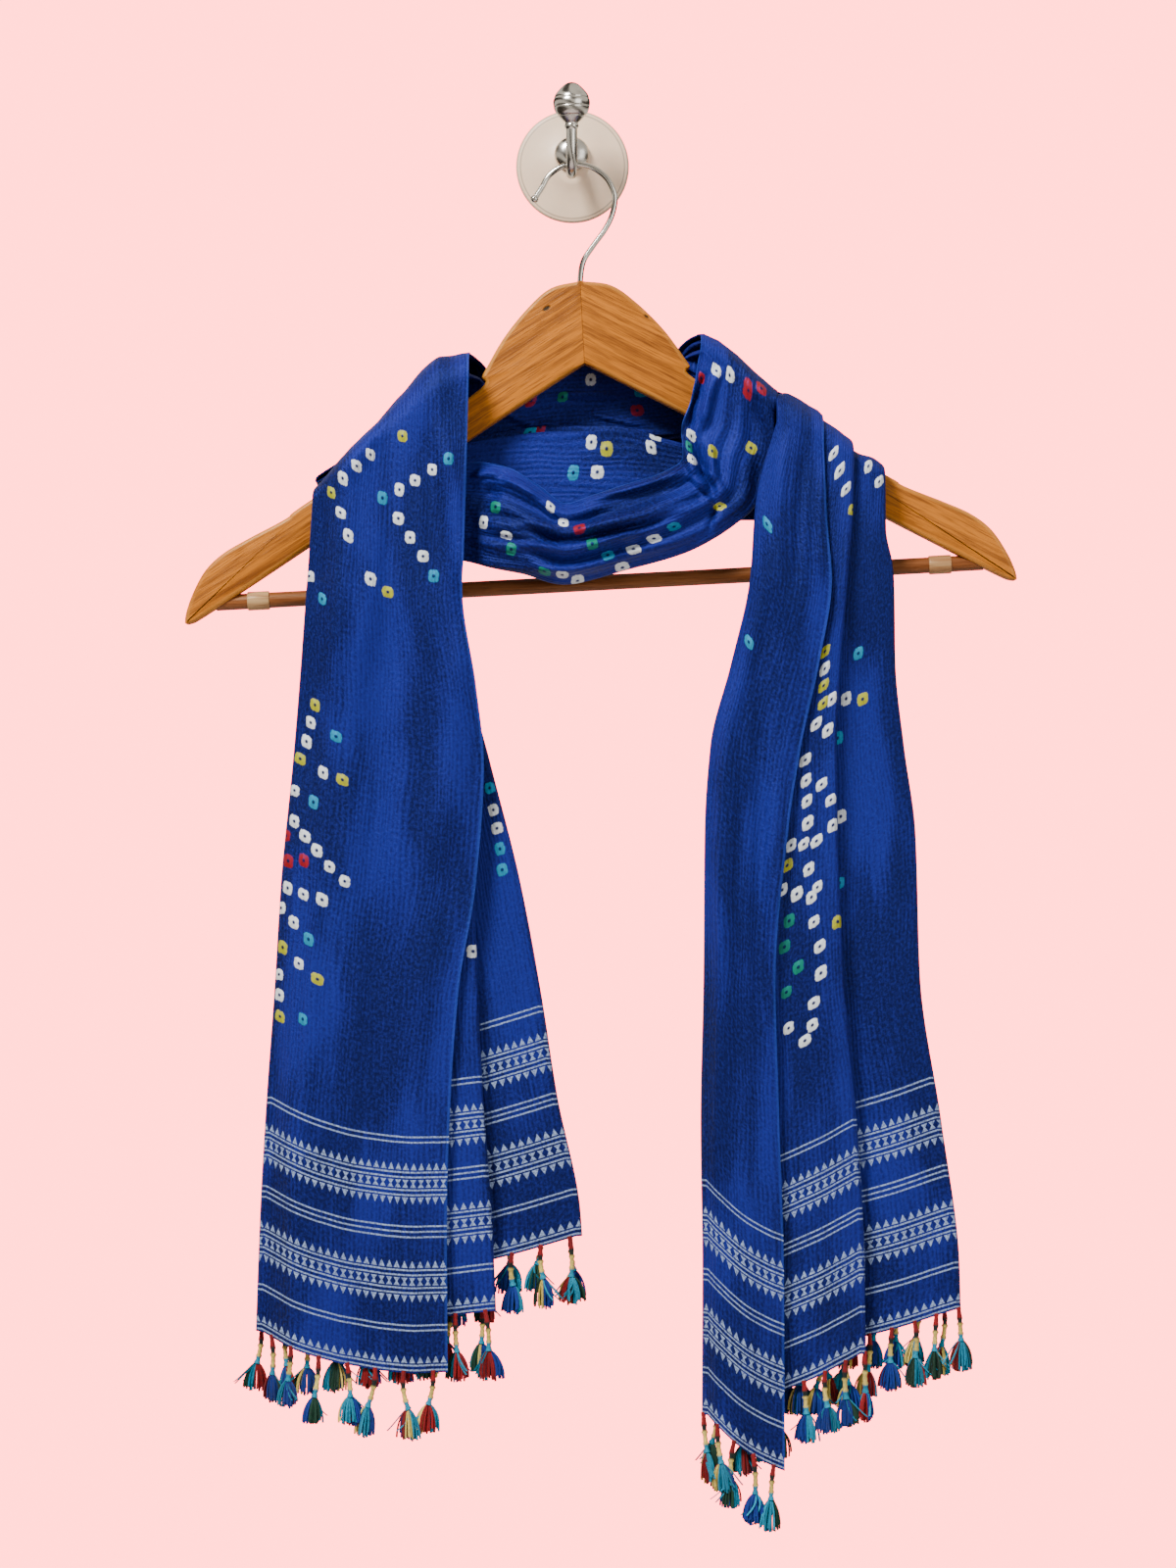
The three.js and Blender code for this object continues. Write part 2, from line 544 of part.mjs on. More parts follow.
node('wall_cup', 'cup', turned(CUP_ROWS, 0, 0, 26));
node('wall_hook', 'chrome', wallHook());
node('hanger_wire', 'chrome', wire(WIRE_R));
node('hanger_left', 'wood', unsolid(solid(board(-1)).subtract(wireSocket).subtract(barSocket)));
node('hanger_right', 'wood', unsolid(solid(board(1)).subtract(wireSocket).subtract(barSocket)));
node('hanger_bar', 'bar', bar(-BAR_HALF * LEFT_SHORT, BAR_HALF, BAR_R));
node('bar_sleeve_left', 'sleeve',
  bar(-SLEEVE.to * LEFT_SHORT, -SLEEVE.from * LEFT_SHORT, SLEEVE.r, BAR_R + SEAM));
node('bar_sleeve_right', 'sleeve', bar(SLEEVE.from, SLEEVE.to, SLEEVE.r, BAR_R + SEAM));
node('left_tail', 'silk', tailSheet(LEFT));
node('back_wrap_1', 'silk', strandSheet(BACK_1));
node('front_wrap', 'silk', strandSheet(FRONT_WRAP));
node('back_wrap_2', 'silk', strandSheet(BACK_2));
node('right_tail', 'silk', tailSheet(RIGHT));
node('left_fringe', 'fringe', fringe(LEFT));
node('right_fringe', 'fringe', fringe(RIGHT));

const group = new THREE.Group();
group.name = 'shawl_on_hanger';
group.add(...nodes);
export default group;
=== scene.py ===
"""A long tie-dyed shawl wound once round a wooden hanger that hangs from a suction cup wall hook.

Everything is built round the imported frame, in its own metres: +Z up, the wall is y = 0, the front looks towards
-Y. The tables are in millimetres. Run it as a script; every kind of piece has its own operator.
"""

import math

import bpy
import numpy as np
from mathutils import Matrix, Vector


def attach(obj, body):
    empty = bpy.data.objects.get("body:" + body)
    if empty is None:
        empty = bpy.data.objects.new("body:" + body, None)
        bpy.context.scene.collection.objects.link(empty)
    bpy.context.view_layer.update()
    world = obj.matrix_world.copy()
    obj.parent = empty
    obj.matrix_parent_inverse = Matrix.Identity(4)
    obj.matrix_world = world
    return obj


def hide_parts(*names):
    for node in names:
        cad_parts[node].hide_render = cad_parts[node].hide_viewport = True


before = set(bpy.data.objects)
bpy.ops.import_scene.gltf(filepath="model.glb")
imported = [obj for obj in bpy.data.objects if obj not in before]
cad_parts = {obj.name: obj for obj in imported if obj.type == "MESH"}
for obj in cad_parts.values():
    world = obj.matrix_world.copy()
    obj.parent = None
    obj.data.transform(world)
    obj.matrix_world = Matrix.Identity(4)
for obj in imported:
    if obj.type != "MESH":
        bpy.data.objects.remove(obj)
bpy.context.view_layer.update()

bl_info = {
    "name": "Shawl on a hanger",
    "version": (1, 0, 0),
    "blender": (4, 5, 0),
    "location": "3D View > Sidebar > Shawl",
    "description": "Builds the shawl, its hanger, the wall hook and the stage",
    "category": "Object",
}

MM = 0.001
HANG_Y = -32.0                    # plane that the hanger hangs in
CLOTH = 1.1                       # wall of the solid that the cloth lies in
ARCH = 2 / 2.6                    # squareness of the bend over the arm
SWELL = 1.2                       # bulge of a wrap's section over its swell
TAIL_SPANS = (16, 26, 186)        # rows of a tail over the arm, levelling out, and down to the hem
TAIL_MEASURED = 150               # row of a tail that its width is measured on
OUTER, INNER = 0.25, 0.15         # shares this near to 1 count as the outer layer, this near to 0 as the inner one
SETTLED = 60                      # degrees over an arm at which ridges and gathers have come in
LEVELLED = 12                     # degrees short of 90 at which a wrap's section lies level
ROW_RUN = 30                      # mm between two rows of a wrap's table, for its gathers
FRONT, REAR = -1, 1

# ---- the hanger's sizes, from the top of its crown, untilted ----
TILT = 3.04                       # degrees, right end up
CROWN = (4.2, -66.0)              # x, z
BOARD = 12.0                      # thickness of the boards
JOINT = 0.02                      # half of the gap in the mitred joint
LEFT_SHORT = 0.982                # length of the left half over that of the right one
BAR_R, BAR_Z, BAR_HALF = 4.2, -161.2, 207.0
SLEEVE = (178.0, 190.0, 5.0)      # from, to, radius
BOARD_EDGE = [                    # x, z round the right half
    (0, 0), (16.2, -3.1), (29.3, -13.1), (43.5, -28.8), (55.5, -47.1), (63, -58.5), (152.9, -109.4),
    (166.5, -118.3), (186.9, -127.7), (201.5, -135.1), (212, -144), (219.9, -157), (224.1, -168.6),
    (222, -171.7), (208.9, -165.4), (152.9, -133), (50.8, -73.3), (0, -44),
]
WIRE = [                          # x, z of the wire hook's centre line
    (0, -12), (0, 0), (1.6, 10.5), (6.3, 18.3), (13.1, 27.7), (17, 35.6), (18.6, 44), (17, 50.5),
    (13.1, 56.5), (6.3, 61.2), (-0.5, 62.9), (-6.8, 62.6), (-12.6, 60.1), (-17.3, 56), (-20.4, 50.5),
    (-23.6, 45.5),
]
SLOPE = 29.5                      # degrees, fall of a board's grain from the crown
JOINT_ROUND = 0.35                # rounding of the edges at the mitred joint
WIRE_R = 1.5                      # radius of the wire
WIRE_TIP = (3.4, 1.4, 2.0, 2.15)  # length of the rounded tip, and the middle, half length and radius of its ball

# ---- the wall hook ----
HOOK_X, BOSS_Z = -0.3, 5.8        # middle of the boss; the hook is at the same x
# The boss and the cup are rows of y and radius, the hook's bar is y and z of its centre line, and its turned
# end is rows of z and radius.
BOSS_ROWS = [(-8.3, 8.3), (-8.6, 9.1), (-9.3, 9.4), (-10.4, 9.2), (-11.5, 8.6), (-12.6, 7.2), (-13.5, 5.4),
             (-14, 3.6)]
HOOK_WAY = [(-12, 6.2), (-17, 4.6), (-20, 1), (-22.5, -3.7), (-26.5, -6.9), (-32, -7.9), (-37.5, -6.5),
            (-41.5, -2.6), (-43.5, 3), (-44, 10), (-44, 17)]
FINIAL = [(13.6, 2.9), (14.2, 3.3), (14.9, 3.6), (15.7, 3.7), (16.5, 3.4), (17.1, 3.5), (17.9, 4.4), (19.1, 5.6),
          (20.2, 6.6), (20.6, 6.7), (21.4, 7.7), (23, 8.8), (25, 9.5), (25.6, 9.4), (26.2, 9.65), (28, 9.8),
          (29.6, 9.5), (30.1, 9.2), (30.7, 9.2), (32.4, 8.5), (34.2, 7.1), (35.9, 5.5), (37.3, 3.9), (38.2, 2.3),
          (38.6, 0.8)]
CUP_ROWS = [(-0.1, 27.8), (-0.5, 29.6), (-1.2, 30.5), (-2.0, 30.6), (-2.8, 30.2), (-3.2, 29.2), (-3.5, 27),
            (-3.9, 24), (-4.6, 20), (-5.6, 15.6), (-6.6, 12.4), (-7.5, 10.6), (-7.9, 9.4), (-8.0, 8.5)]

# ---- the cloth's tables ----
# A tail: axis, pile and crest of the arm that it hangs over, as x and value; rows of z, x of the free edge a,
# of the folds b, c, d and e, and of the far edge f, pitch of the layers, least depth; z of the hem at a to f,
# its sag between them; creases as x at the top, x at the hem, half width, height.
LEFT = {
    "axis": [(-137.2, -184.5), (-54.5, -119)],
    "pile": [(-137.2, 5.7), (-131, 7.2), (-121, 10.9), (-115, 12)],
    "crest": [(-139.3, -178.4), (-129.8, -169.6), (-119.4, -159.1), (-107.3, -144.5), (-93.7, -128.3),
              (-80.6, -115.2), (-71.2, -107.8), (-59.2, -104.7), (-45.5, -103.1)],
    "rows": [
        (-190, -54.5, -137.2, -62.9, -108.3, -57.0, -106.2, 3.0, 18),
        (-231, -57.9, -140.3, -62.9, -116.1, -61.3, -114.0, 3.0, 18),
        (-283, -50.7, -144.4, -56.7, -121.2, -54.0, -120.8, 3.6, 13.5),
        (-324, -46.6, -148.0, -53.6, -123.8, -43.6, -121.8, 4.0, 10.5),
        (-386, -50.7, -154.2, -52.1, -126.4, -28.0, -120.8, 4.4, 9),
        (-444, -60.0, -157.8, -50.0, -129.0, -17.1, -116.6, 4.8, 8),
        (-500, -64.1, -161.9, -47.4, -130.1, -8.3, -108.8, 5.2, 7),
        (-563, -66.1, -165.5, -42.8, -130.6, 4.2, -103.6, 5.6, 6),
        (-650, -65.6, -168.6, -39.2, -131.6, 8.4, -95.8, 5.8, 5),
    ],
    "hem": (-644.9, -624.9, -613.4, -603.2, -575.1, -569.4),
    "sag": (7, 1, 1, 3, 0),
    "start": -217,
    "creases": [(-121, -143, 17, 3.4), (-97, -112, 15, -3.2), (-75, -84, 14, 3), (-30, 0, 13, -2.6),
                (-18, -26, 9, 2)],
    "roll": (22, 2.1),
}
RIGHT = {
    "axis": [(40, -109.1), (190, -183.7)],
    "pile": [(108.4, 6.7), (117, 9.6), (133, 9.6), (149, 4.8), (160, 2.4)],
    "crest": [(113.1, -126.8), (120.9, -129.9), (130.4, -134.6), (144.5, -150.3), (152.9, -156.6),
              (161.2, -161.5), (168, -165.5)],
    "rows": [
        (-150, 132.8, 108.4, 148.8, 116.0, 165.6, 112.0, 2.4, 20),
        (-192, 134.3, 97.1, 147.8, 108.0, 166.0, 104.0, 2.7, 20),
        (-227, 136.9, 94.1, 145.3, 104.0, 170.3, 100.0, 3.0, 19),
        (-271, 130.3, 84.3, 141.8, 98.0, 171.3, 94.0, 3.5, 15),
        (-314, 121.0, 73.5, 139.8, 91.0, 176.0, 86.0, 3.9, 12),
        (-360, 113.9, 70.5, 140.4, 88.0, 182.2, 82.0, 4.2, 10.5),
        (-437, 107.2, 69.9, 144.0, 88.0, 184.8, 80.0, 4.6, 9),
        (-514, 109.3, 68.4, 150.8, 90.0, 196.2, 80.0, 5.0, 7.5),
        (-591, 111.8, 69.4, 154.9, 92.0, 206.0, 80.0, 5.4, 6),
        (-700, 112.3, 68.9, 156.0, 92.0, 208.1, 80.0, 5.8, 5),
    ],
    "hem": (-697.1, -668.4, -636.4, -640.0, -614.0, -606.0),
    "sag": (4, 3, -2, 3, 0),
    "start": -214,
    "creases": [(116, 86, 13, 2.4), (143, 128, 13, 3), (152, 153, 9, -2.4), (158, 176, 13, 2.8),
                (168, 196, 9, -2)],
    "roll": (9, 1.2),
}
TAIL_SHARES = (1, 0.8, 0.6, 0.45, 0.3)

NECK = {
    "axis": [(70, -107), (106.5, -137)],
    "crest": [(56, -96.5), (64, -94.4), (70, -94), (78, -97.5), (87.9, -105.2), (96.8, -113.8), (108, -123.5)],
    "pile": [(70, 9.6), (110, 9.6)],
}
LOOSE = (0.97, 0.02, 0.92, 0.06, 0.88, 0.1)

# A wrap: bends as angle, x of the lower edge, x of the upper edge, least depth, pitch, swell; rows of x and z
# of the lower edge, x and z of the upper edge, least depth, pitch, swell; start and end place its folds as
# shares of the section; creases as share at the start, share at the end, half width, height over swell.
BACK_1 = {
    "side": REAR,
    "shares": (1, 0.6, 0.4, 0.2, 0),
    "from": (LEFT, [(0, -137.2, -54.5, 14, 3.0, 0), (30, -137.2, -51, 14, 3.0, 0),
                    (60, -137.2, -46, 14.4, 3.0, 0), (90, -137.2, -42, 15, 2.9, 0.1)]),
    "rows": [
        (-106, -186, -32, -107, 16, 2.5, 0.4),
        (-62, -178, -20, -104, 17, 2.2, 0.8),
        (-15, -166, -4, -104, 18, 2.1, 0.8),
        (25, -161, 18, -103, 18, 2.1, 0.8),
        (58, -158, 38, -99, 16.5, 2.2, 0.7),
        (88, -153, 52, -98, 14, 2.4, 0.3),
    ],
    "to": (NECK, [(90, 109, 54, 12, 2.4, 0), (60, 110, 55, 12, 2.4, 0), (30, 110, 59, 12, 2.4, 0),
                  (0, 110, 65, 12, 2.4, 0)]),
    "start": (1, 0, 0.898, 0.35, 0.97, 0.375),
    "end": LOOSE,
    "creases": [(0.2, 0.26, 0.18, 1), (0.5, 0.52, 0.16, 0.8), (0.8, 0.78, 0.16, 0.9)],
}
FRONT_WRAP = {
    "side": FRONT,
    "shares": (1, 0, 0, 0, 0),
    "from": (NECK, [(0, 110, 65, 12, 2.4, 0), (30, 110, 67, 12, 2.4, 0), (60, 109.6, 67, 11, 2.4, 0.4),
                    (90, 109, 66, 9, 2.3, 1)]),
    "rows": [
        (108.5, -158, 62, -129, 8, 2.2, 2),
        (103, -173, 56.5, -146, 8, 2.2, 3),
        (98, -187, 57.5, -160, 8, 2.2, 4),
        (86, -198, 46, -169, 8, 2.4, 5.5),
        (62, -212, 27, -175, 9, 2.6, 7),
        (30, -221.5, 11, -180.5, 10, 2.7, 8),
        (-4, -229.5, -3, -184.5, 10, 2.7, 8),
        (-26, -224, -18, -174.6, 9.5, 2.6, 6.5),
        (-42, -221, -35, -164.5, 9, 2.3, 4),
        (-57, -217, -52, -162, 7.5, 1.85, 0.4),
        (-84, -213, -72, -162, 7.2, 1.75, 0),
        (-112, -206, -84, -158, 7.2, 1.75, 0),
    ],
    "to": None,
    "start": LOOSE,
    "end": LOOSE,
    "creases": [(0.2, 0.16, 0.11, 0.5), (0.42, 0.36, 0.11, 0.6), (0.62, 0.58, 0.11, 0.6),
                (0.84, 0.83, 0.13, 0.8)],
}
BACK_2 = {
    "side": REAR,
    "shares": (1, 0.6, 0.4, 0.2, 0),
    "from": None,
    "rows": [
        (-100, -192, -72, -152, 7.2, 1.55, 0),
        (-60, -196, -45, -146, 7.4, 1.8, 0),
        (-20, -199, -10, -141, 7.5, 1.9, 0.2),
        (20, -198, 20, -141, 7.5, 1.9, 0.2),
        (60, -194, 52, -149, 7.5, 1.9, 0),
        (100, -193, 82, -157, 9, 2.0, 0),
        (146, -194, 103, -161, 11, 2.2, 0),
    ],
    "to": (RIGHT, [(deg, 165.6, 108.4, 12.5, 2.4, 0) for deg in (90, 60, 30, 0)]),
    "start": (0.3, 0.98, 0.15, 0.9, 0.02, 0.92),
    "end": (0.573, 1, 0.294, 0.867, 0, 0.937),
    "creases": [(0.25, 0.25, 0.16, 1), (0.52, 0.55, 0.15, 0.8), (0.8, 0.8, 0.15, 1)],
}


# ---- sizes and colours ----
def length(name, text, default):
    return bpy.props.FloatProperty(name=name, description=text, default=default, min=0, unit="LENGTH", precision=5)


def amount(name, text, default, unit="NONE"):
    return bpy.props.FloatProperty(name=name, description=text, default=default, min=0, unit=unit)


def tint(name, text, default):
    return bpy.props.FloatVectorProperty(name=name, description=text, default=default, size=3, min=0, max=1,
                                         subtype="COLOR")


class ShawlSizes(bpy.types.PropertyGroup):
    """The cloth and its colours."""

    wall: length("Cloth", "Thickness of the silk", 0.0006)
    crinkle: length("Crinkle", "Depth of the fine ribs along the cloth", 0.0003)
    gather: length("Gathers", "Depth of the soft gathers along the cloth", 0.0005)
    blue: tint("Blue", "Colour of the dyed silk", (0.0100, 0.0130, 0.165))
    # deep is also the dark side of the painted satin sheen on the silk.
    deep: tint("Deep blue", "Colour between the ribs of the silk", (0.0018, 0.0020, 0.026))
    thread: tint("Border thread", "Colour of the woven border", (0.36, 0.47, 0.68))
    white: tint("White dot", "Undyed dots", (0.78, 0.82, 0.80))
    yellow: tint("Yellow dot", "Yellow dots", (0.44, 0.43, 0.0))
    turquoise: tint("Turquoise dot", "Turquoise dots", (0.012, 0.25, 0.40))
    green: tint("Green dot", "Green dots", (0.008, 0.20, 0.11))
    red: tint("Red dot", "Red dots", (0.30, 0.008, 0.0))
    dot: length("Dot", "Width of a dot", 0.0072)


class HangerSizes(bpy.types.PropertyGroup):
    """The wooden hanger and its wire hook."""

    rounding: length("Rounding", "Radius of the boards' edges", 0.0022)
    wood: tint("Wood", "Light grain of the boards", (0.56, 0.170, 0.011))
    grain: tint("Dark grain", "Dark grain and edges of the boards", (0.11, 0.024, 0.003))
    bar: tint("Bar", "Wood of the round bar", (0.24, 0.075, 0.02))
    sleeve: tint("Sleeve", "Pale sleeves on the bar", (0.50, 0.30, 0.13))
    metal: tint("Metal", "Chrome of the wire and the wall hook", (0.62, 0.58, 0.52))


class HookSizes(bpy.types.PropertyGroup):
    """The suction cup and its hook."""

    cup: tint("Cup", "Soft clear plastic of the suction cup", (1.0, 0.72, 0.50))
    hook_radius: length("Hook bar", "Radius of the wall hook's bar", 0.0029)


class StageSizes(bpy.types.PropertyGroup):
    """Camera, lights and floor."""

    backdrop: tint("Backdrop", "Colour round the object", (1.0, 0.128, 0.134))
    glow: amount("Backdrop strength", "How bright the backdrop looks", 11)
    floor: tint("Floor", "Colour of the floor", (0.86, 0.74, 0.72))
    distance: length("Camera distance", "From the camera to the hanger", 2.2)
    view: length("View height", "Height that the camera takes in at the hanger", 0.8376)
    key: amount("Key light", "Power of the main light", 102, "POWER")
    fill: amount("Fill light", "Power of the weaker light", 20, "POWER")


# ---- curves through tables ----
def lines(table, key):
    """The value at each key, on straight lines between the table's rows."""
    at, value = np.array(table, float).T
    return np.interp(key, at, value)


def curves(table, key):
    """Every further column of a table at each key, on cubic curves through its rows that never overshoot:
    the slope at a row is the weighted harmonic mean of the slopes beside it, or none at a turn."""
    rows = np.array(table, float)
    if rows[0, 0] > rows[-1, 0]:
        rows = rows[::-1]
    x, y = rows[:, 0], rows[:, 1:]
    step = np.diff(x)
    slope = np.diff(y, axis=0) / step[:, None]
    tangent = np.zeros_like(y)
    before, after = (2 * step[1:] + step[:-1])[:, None], (step[1:] + 2 * step[:-1])[:, None]
    same = slope[:-1] * slope[1:] > 0
    safe = np.where(same, slope[:-1], 1), np.where(same, slope[1:], 1)
    tangent[1:-1] = np.where(same, (before + after) / (before / safe[0] + after / safe[1]), 0)
    tangent[0], tangent[-1] = slope[0], slope[-1]
    key = np.clip(key, x[0], x[-1])
    i = np.clip(np.searchsorted(x, key) - 1, 0, len(x) - 2)
    t, h = ((key - x[i]) / step[i])[..., None], step[i][..., None]
    return (y[i] * (1 + 2 * t) * (1 - t) ** 2 + y[i + 1] * t * t * (3 - 2 * t)
            + h * tangent[i] * t * (1 - t) ** 2 + h * tangent[i + 1] * t * t * (t - 1))


def spline(points, steps, closed=False):
    """Points on a smooth curve through the given ones: each span is a cubic whose end slopes are half of the
    step between its neighbours."""
    p = np.array(points, float)
    ends = (p[-1:], p[:1], p[1:2]) if closed else (2 * p[:1] - p[1:2], 2 * p[-1:] - p[-2:-1], p[:0])
    q = np.concatenate([ends[0], p, ends[1], ends[2]])
    t = np.arange(steps)[:, None] / steps
    spans = len(q) - 3
    a, b, c, d = (q[k:k + spans, None] for k in range(4))
    out = 0.5 * (2 * b + (c - a) * t + (2 * a - 5 * b + 4 * c - d) * t ** 2 + (3 * b - a - 3 * c + d) * t ** 3)
    out = out.reshape(-1, p.shape[1])
    return out if closed else np.concatenate([out, p[-1:]])


def bump(t):
    """A soft hill: 1 at 0, falling as half a cosine wave to 0 at 1 and beyond."""
    return np.where(np.abs(t) < 1, (1 + np.cos(np.pi * np.clip(t, -1, 1))) / 2, 0)


def ease(t):
    """0 below 0, 1 above 1, and smooth between, as 3 t squared less 2 t cubed."""
    t = np.clip(t, 0, 1)
    return t * t * (3 - 2 * t)


# ---- meshes ----
class Pile:
    """Points, faces and values on face corners, gathered part by part into one mesh."""

    def __init__(self):
        self.points, self.corners, self.sizes, self.values = [], [], [], {}
        self.count = 0

    def add(self, points, faces, **values):
        """Adds points, and faces of one size on them."""
        self.points.append(np.asarray(points, float).reshape(-1, 3))
        self.count += len(self.points[-1])
        self.more(faces, **values)

    def more(self, faces, **values):
        """Adds further faces on the points that came last. A value is given for each of these points, or for
        each face corner."""
        faces, last = np.asarray(faces, int), len(self.points[-1])
        self.corners.append(faces.ravel() + self.count - last)
        self.sizes.append(np.full(len(faces), faces.shape[1]))
        for name, value in values.items():
            value = np.asarray(value, float)
            self.values.setdefault(name, []).append(value[faces.ravel()] if len(value) == last else value)

    def mesh(self, name, material, sharp=35):
        """The mesh as an object at the origin, in metres, smooth except at edges past the sharp angle.
        Values of two columns become UV maps and values of four become colours."""
        data = bpy.data.meshes.new(name)
        sizes, corners = np.concatenate(self.sizes), np.concatenate(self.corners)
        data.vertices.add(self.count)
        data.vertices.foreach_set("co", (np.concatenate(self.points) * MM).ravel())
        data.loops.add(len(corners))
        data.loops.foreach_set("vertex_index", corners)
        data.polygons.add(len(sizes))
        data.polygons.foreach_set("loop_start", np.concatenate([[0], np.cumsum(sizes)[:-1]]))
        data.update(calc_edges=True)
        for key, parts in self.values.items():
            value = np.concatenate(parts)
            if value.shape[1] == 2:
                data.uv_layers.new(name=key).data.foreach_set("uv", value.ravel())
            else:
                data.color_attributes.new(key, "FLOAT_COLOR", "CORNER").data.foreach_set("color", value.ravel())
        data.shade_smooth()
        data.set_sharp_from_angle(angle=math.radians(sharp))
        data.materials.append(material)
        made = bpy.data.objects.new(name, data)
        bpy.context.scene.collection.objects.link(made)
        return made


def settle(made, node):
    """The piece rides on the one body and stands for its solid, whose imported part is hidden."""
    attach(made, "root")
    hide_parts(node)


def grid_faces(rows, columns, closed=False):
    """Quads of a grid of points; closed joins the last column to the first."""
    r, c = np.meshgrid(np.arange(rows - 1), np.arange(columns if closed else columns - 1), indexing="ij")
    n = (c + 1) % columns
    return np.stack([r * columns + c, r * columns + n, (r + 1) * columns + n, (r + 1) * columns + c],
                    -1).reshape(-1, 4)


def outwards(points, sets):
    """The sets of faces of a closed skin, all turned if the volume under them comes out negative."""
    corners = np.concatenate([faces[:, [0, k, k + 1]] for faces in sets for k in range(1, faces.shape[1] - 1)])
    a, b, c = (points[corners[:, k]] for k in range(3))
    return [faces[:, ::-1] for faces in sets] if np.sum(a * np.cross(b, c)) < 0 else sets


def shell(sheet, wall):
    """A sheet of points given a wall: its two skins are the points moved half the wall along the sheet's
    normal to either side, and a rim joins them. Returns points and quads, front skin first."""
    rows, columns = sheet.shape[:2]
    normal = np.cross(np.gradient(sheet, axis=1), np.gradient(sheet, axis=0))
    normal /= np.maximum(np.linalg.norm(normal, axis=-1, keepdims=True), 1e-9)
    points = np.concatenate([(sheet + normal * wall / 2).reshape(-1, 3),
                             (sheet - normal * wall / 2).reshape(-1, 3)])
    front = grid_faces(rows, columns)
    index = np.arange(rows * columns).reshape(rows, columns)
    edge = np.concatenate([index[0, :-1], index[:-1, -1], index[-1, :0:-1], index[:0:-1, 0]])
    after = np.roll(edge, -1)
    rim = np.stack([after, edge, edge + rows * columns, after + rows * columns], -1)
    return points, np.concatenate([front, front[:, ::-1] + rows * columns, rim])


def circle(sides):
    """Cosine and sine at even steps round a circle."""
    t = 2 * np.pi * np.arange(sides) / sides
    return np.cos(t), np.sin(t)


def tube(path, radius, sides, depth=(0, 1, 0)):
    """Rings of a tube round a path. A ring's plane holds the depth direction and the path's own normal to it.
    radius is one number or one for each point of the path."""
    path = np.array(path, float)
    way = np.gradient(path, axis=0)
    way /= np.linalg.norm(way, axis=1, keepdims=True)
    across = np.cross(way, depth)
    across /= np.linalg.norm(across, axis=1, keepdims=True)
    other = np.cross(across, way)
    cos, sin = circle(sides)
    radius = np.broadcast_to(np.asarray(radius, float), len(path))[:, None, None]
    return path[:, None] + radius * (across[:, None] * cos[None, :, None] + other[:, None] * sin[None, :, None])


def capped(pile, rings, **values):
    """Adds closed rings of points as a skin, with a fan of triangles on a middle point at either end."""
    rows, sides = rings.shape[:2]
    points = np.concatenate([rings.reshape(-1, 3), rings[:1].mean(1), rings[-1:].mean(1)])
    s = np.arange(sides)
    n, end = (s + 1) % sides, (rows - 1) * sides
    quads, *fans = outwards(points, [
        grid_faces(rows, sides, closed=True), np.stack([n, s, np.full(sides, rows * sides)], -1),
        np.stack([s + end, n + end, np.full(sides, rows * sides + 1)], -1)])
    values = {key: np.concatenate([value, value[:1], value[-1:]]) for key, value in values.items()}
    pile.add(points, quads, **values)
    for fan in fans:
        pile.more(fan, **values)


def skin(name, parts, material, sharp=35):
    """One mesh of several capped sets of rings."""
    pile = Pile()
    for rings in parts:
        capped(pile, rings)
    return pile.mesh(name, material, sharp)


def turned(profile, x, z, sides):
    """Rings of a turned shape round the line through x, z along y: rows of y and radius."""
    cos, sin = circle(sides)
    y, r = np.array(profile, float).T
    return np.stack([x + r[:, None] * cos, np.repeat(y[:, None], sides, 1), z + r[:, None] * sin], -1)


def hang(x, z, y=HANG_Y):
    """A point of the hanger's own frame, turned with its tilt and put at its crown."""
    c, s = math.cos(math.radians(TILT)), math.sin(math.radians(TILT))
    x, z = np.asarray(x, float), np.asarray(z, float)
    return np.stack(np.broadcast_arrays(CROWN[0] + x * c - z * s, y, CROWN[1] + x * s + z * c), -1)


# ---- the folded cloth ----
def fold_columns(counts, turns=7):
    """The columns of a folded section, as layer, share of the layer's width and angle round the fold after it."""
    layer, along, angle = [], [], []
    for k, n in enumerate(counts):
        layer.append(np.full(n + 1, k))
        along.append(np.linspace(0, 1, n + 1))
        angle.append(np.zeros(n + 1))
        if k < len(counts) - 1:
            layer.append(np.full(turns, k))
            along.append(np.ones(turns))
            angle.append(np.linspace(0, np.pi, turns + 2)[1:-1])
    return np.concatenate(layer), np.concatenate(along), np.concatenate(angle)


def folded(turns, pitch, columns):
    """u along the section and d out from the hanger. A layer runs level between two turns; the fold to the
    next is half a circle whose width is the pitch. turns[..., k] and pitch are given for each column."""
    layer, along, angle = columns
    last = turns.shape[-1] - 2
    pick = np.broadcast_to(layer, turns.shape[:-1])[..., None]
    a = np.take_along_axis(turns, pick, -1)[..., 0]
    b = np.take_along_axis(turns, pick + 1, -1)[..., 0]
    way = np.sign(b - a)
    start = a + np.where(layer > 0, way * pitch / 2, 0)
    end = b - np.where(layer < last, way * pitch / 2, 0)
    u = start + (end - start) * along + way * np.sin(angle) * pitch / 2
    d = (last - layer) * pitch - (1 - np.cos(angle)) * pitch / 2
    return u, d


def shares_of(shares, columns):
    """How much of the surface's ridges each column takes, passing evenly from layer to layer at a fold."""
    layer, _, angle = columns
    table = np.array(shares, float)
    return table[layer] + (table[np.minimum(layer + 1, len(table) - 1)] - table[layer]) * angle / np.pi


def over_arm(arm, side, deg, reach, x, d):
    """Height and depth over an arm: a squared arch from its top (0 degrees) to its front or back (90)."""
    up = np.cos(np.radians(deg)) ** ARCH
    out = np.sin(np.radians(deg)) ** ARCH
    middle = lines(arm["axis"], x)
    over = lines(arm["crest"], x) - middle - lines(arm["pile"], x) - CLOTH / 2
    return HANG_Y + side * (reach + d) * out, (over + d) * up


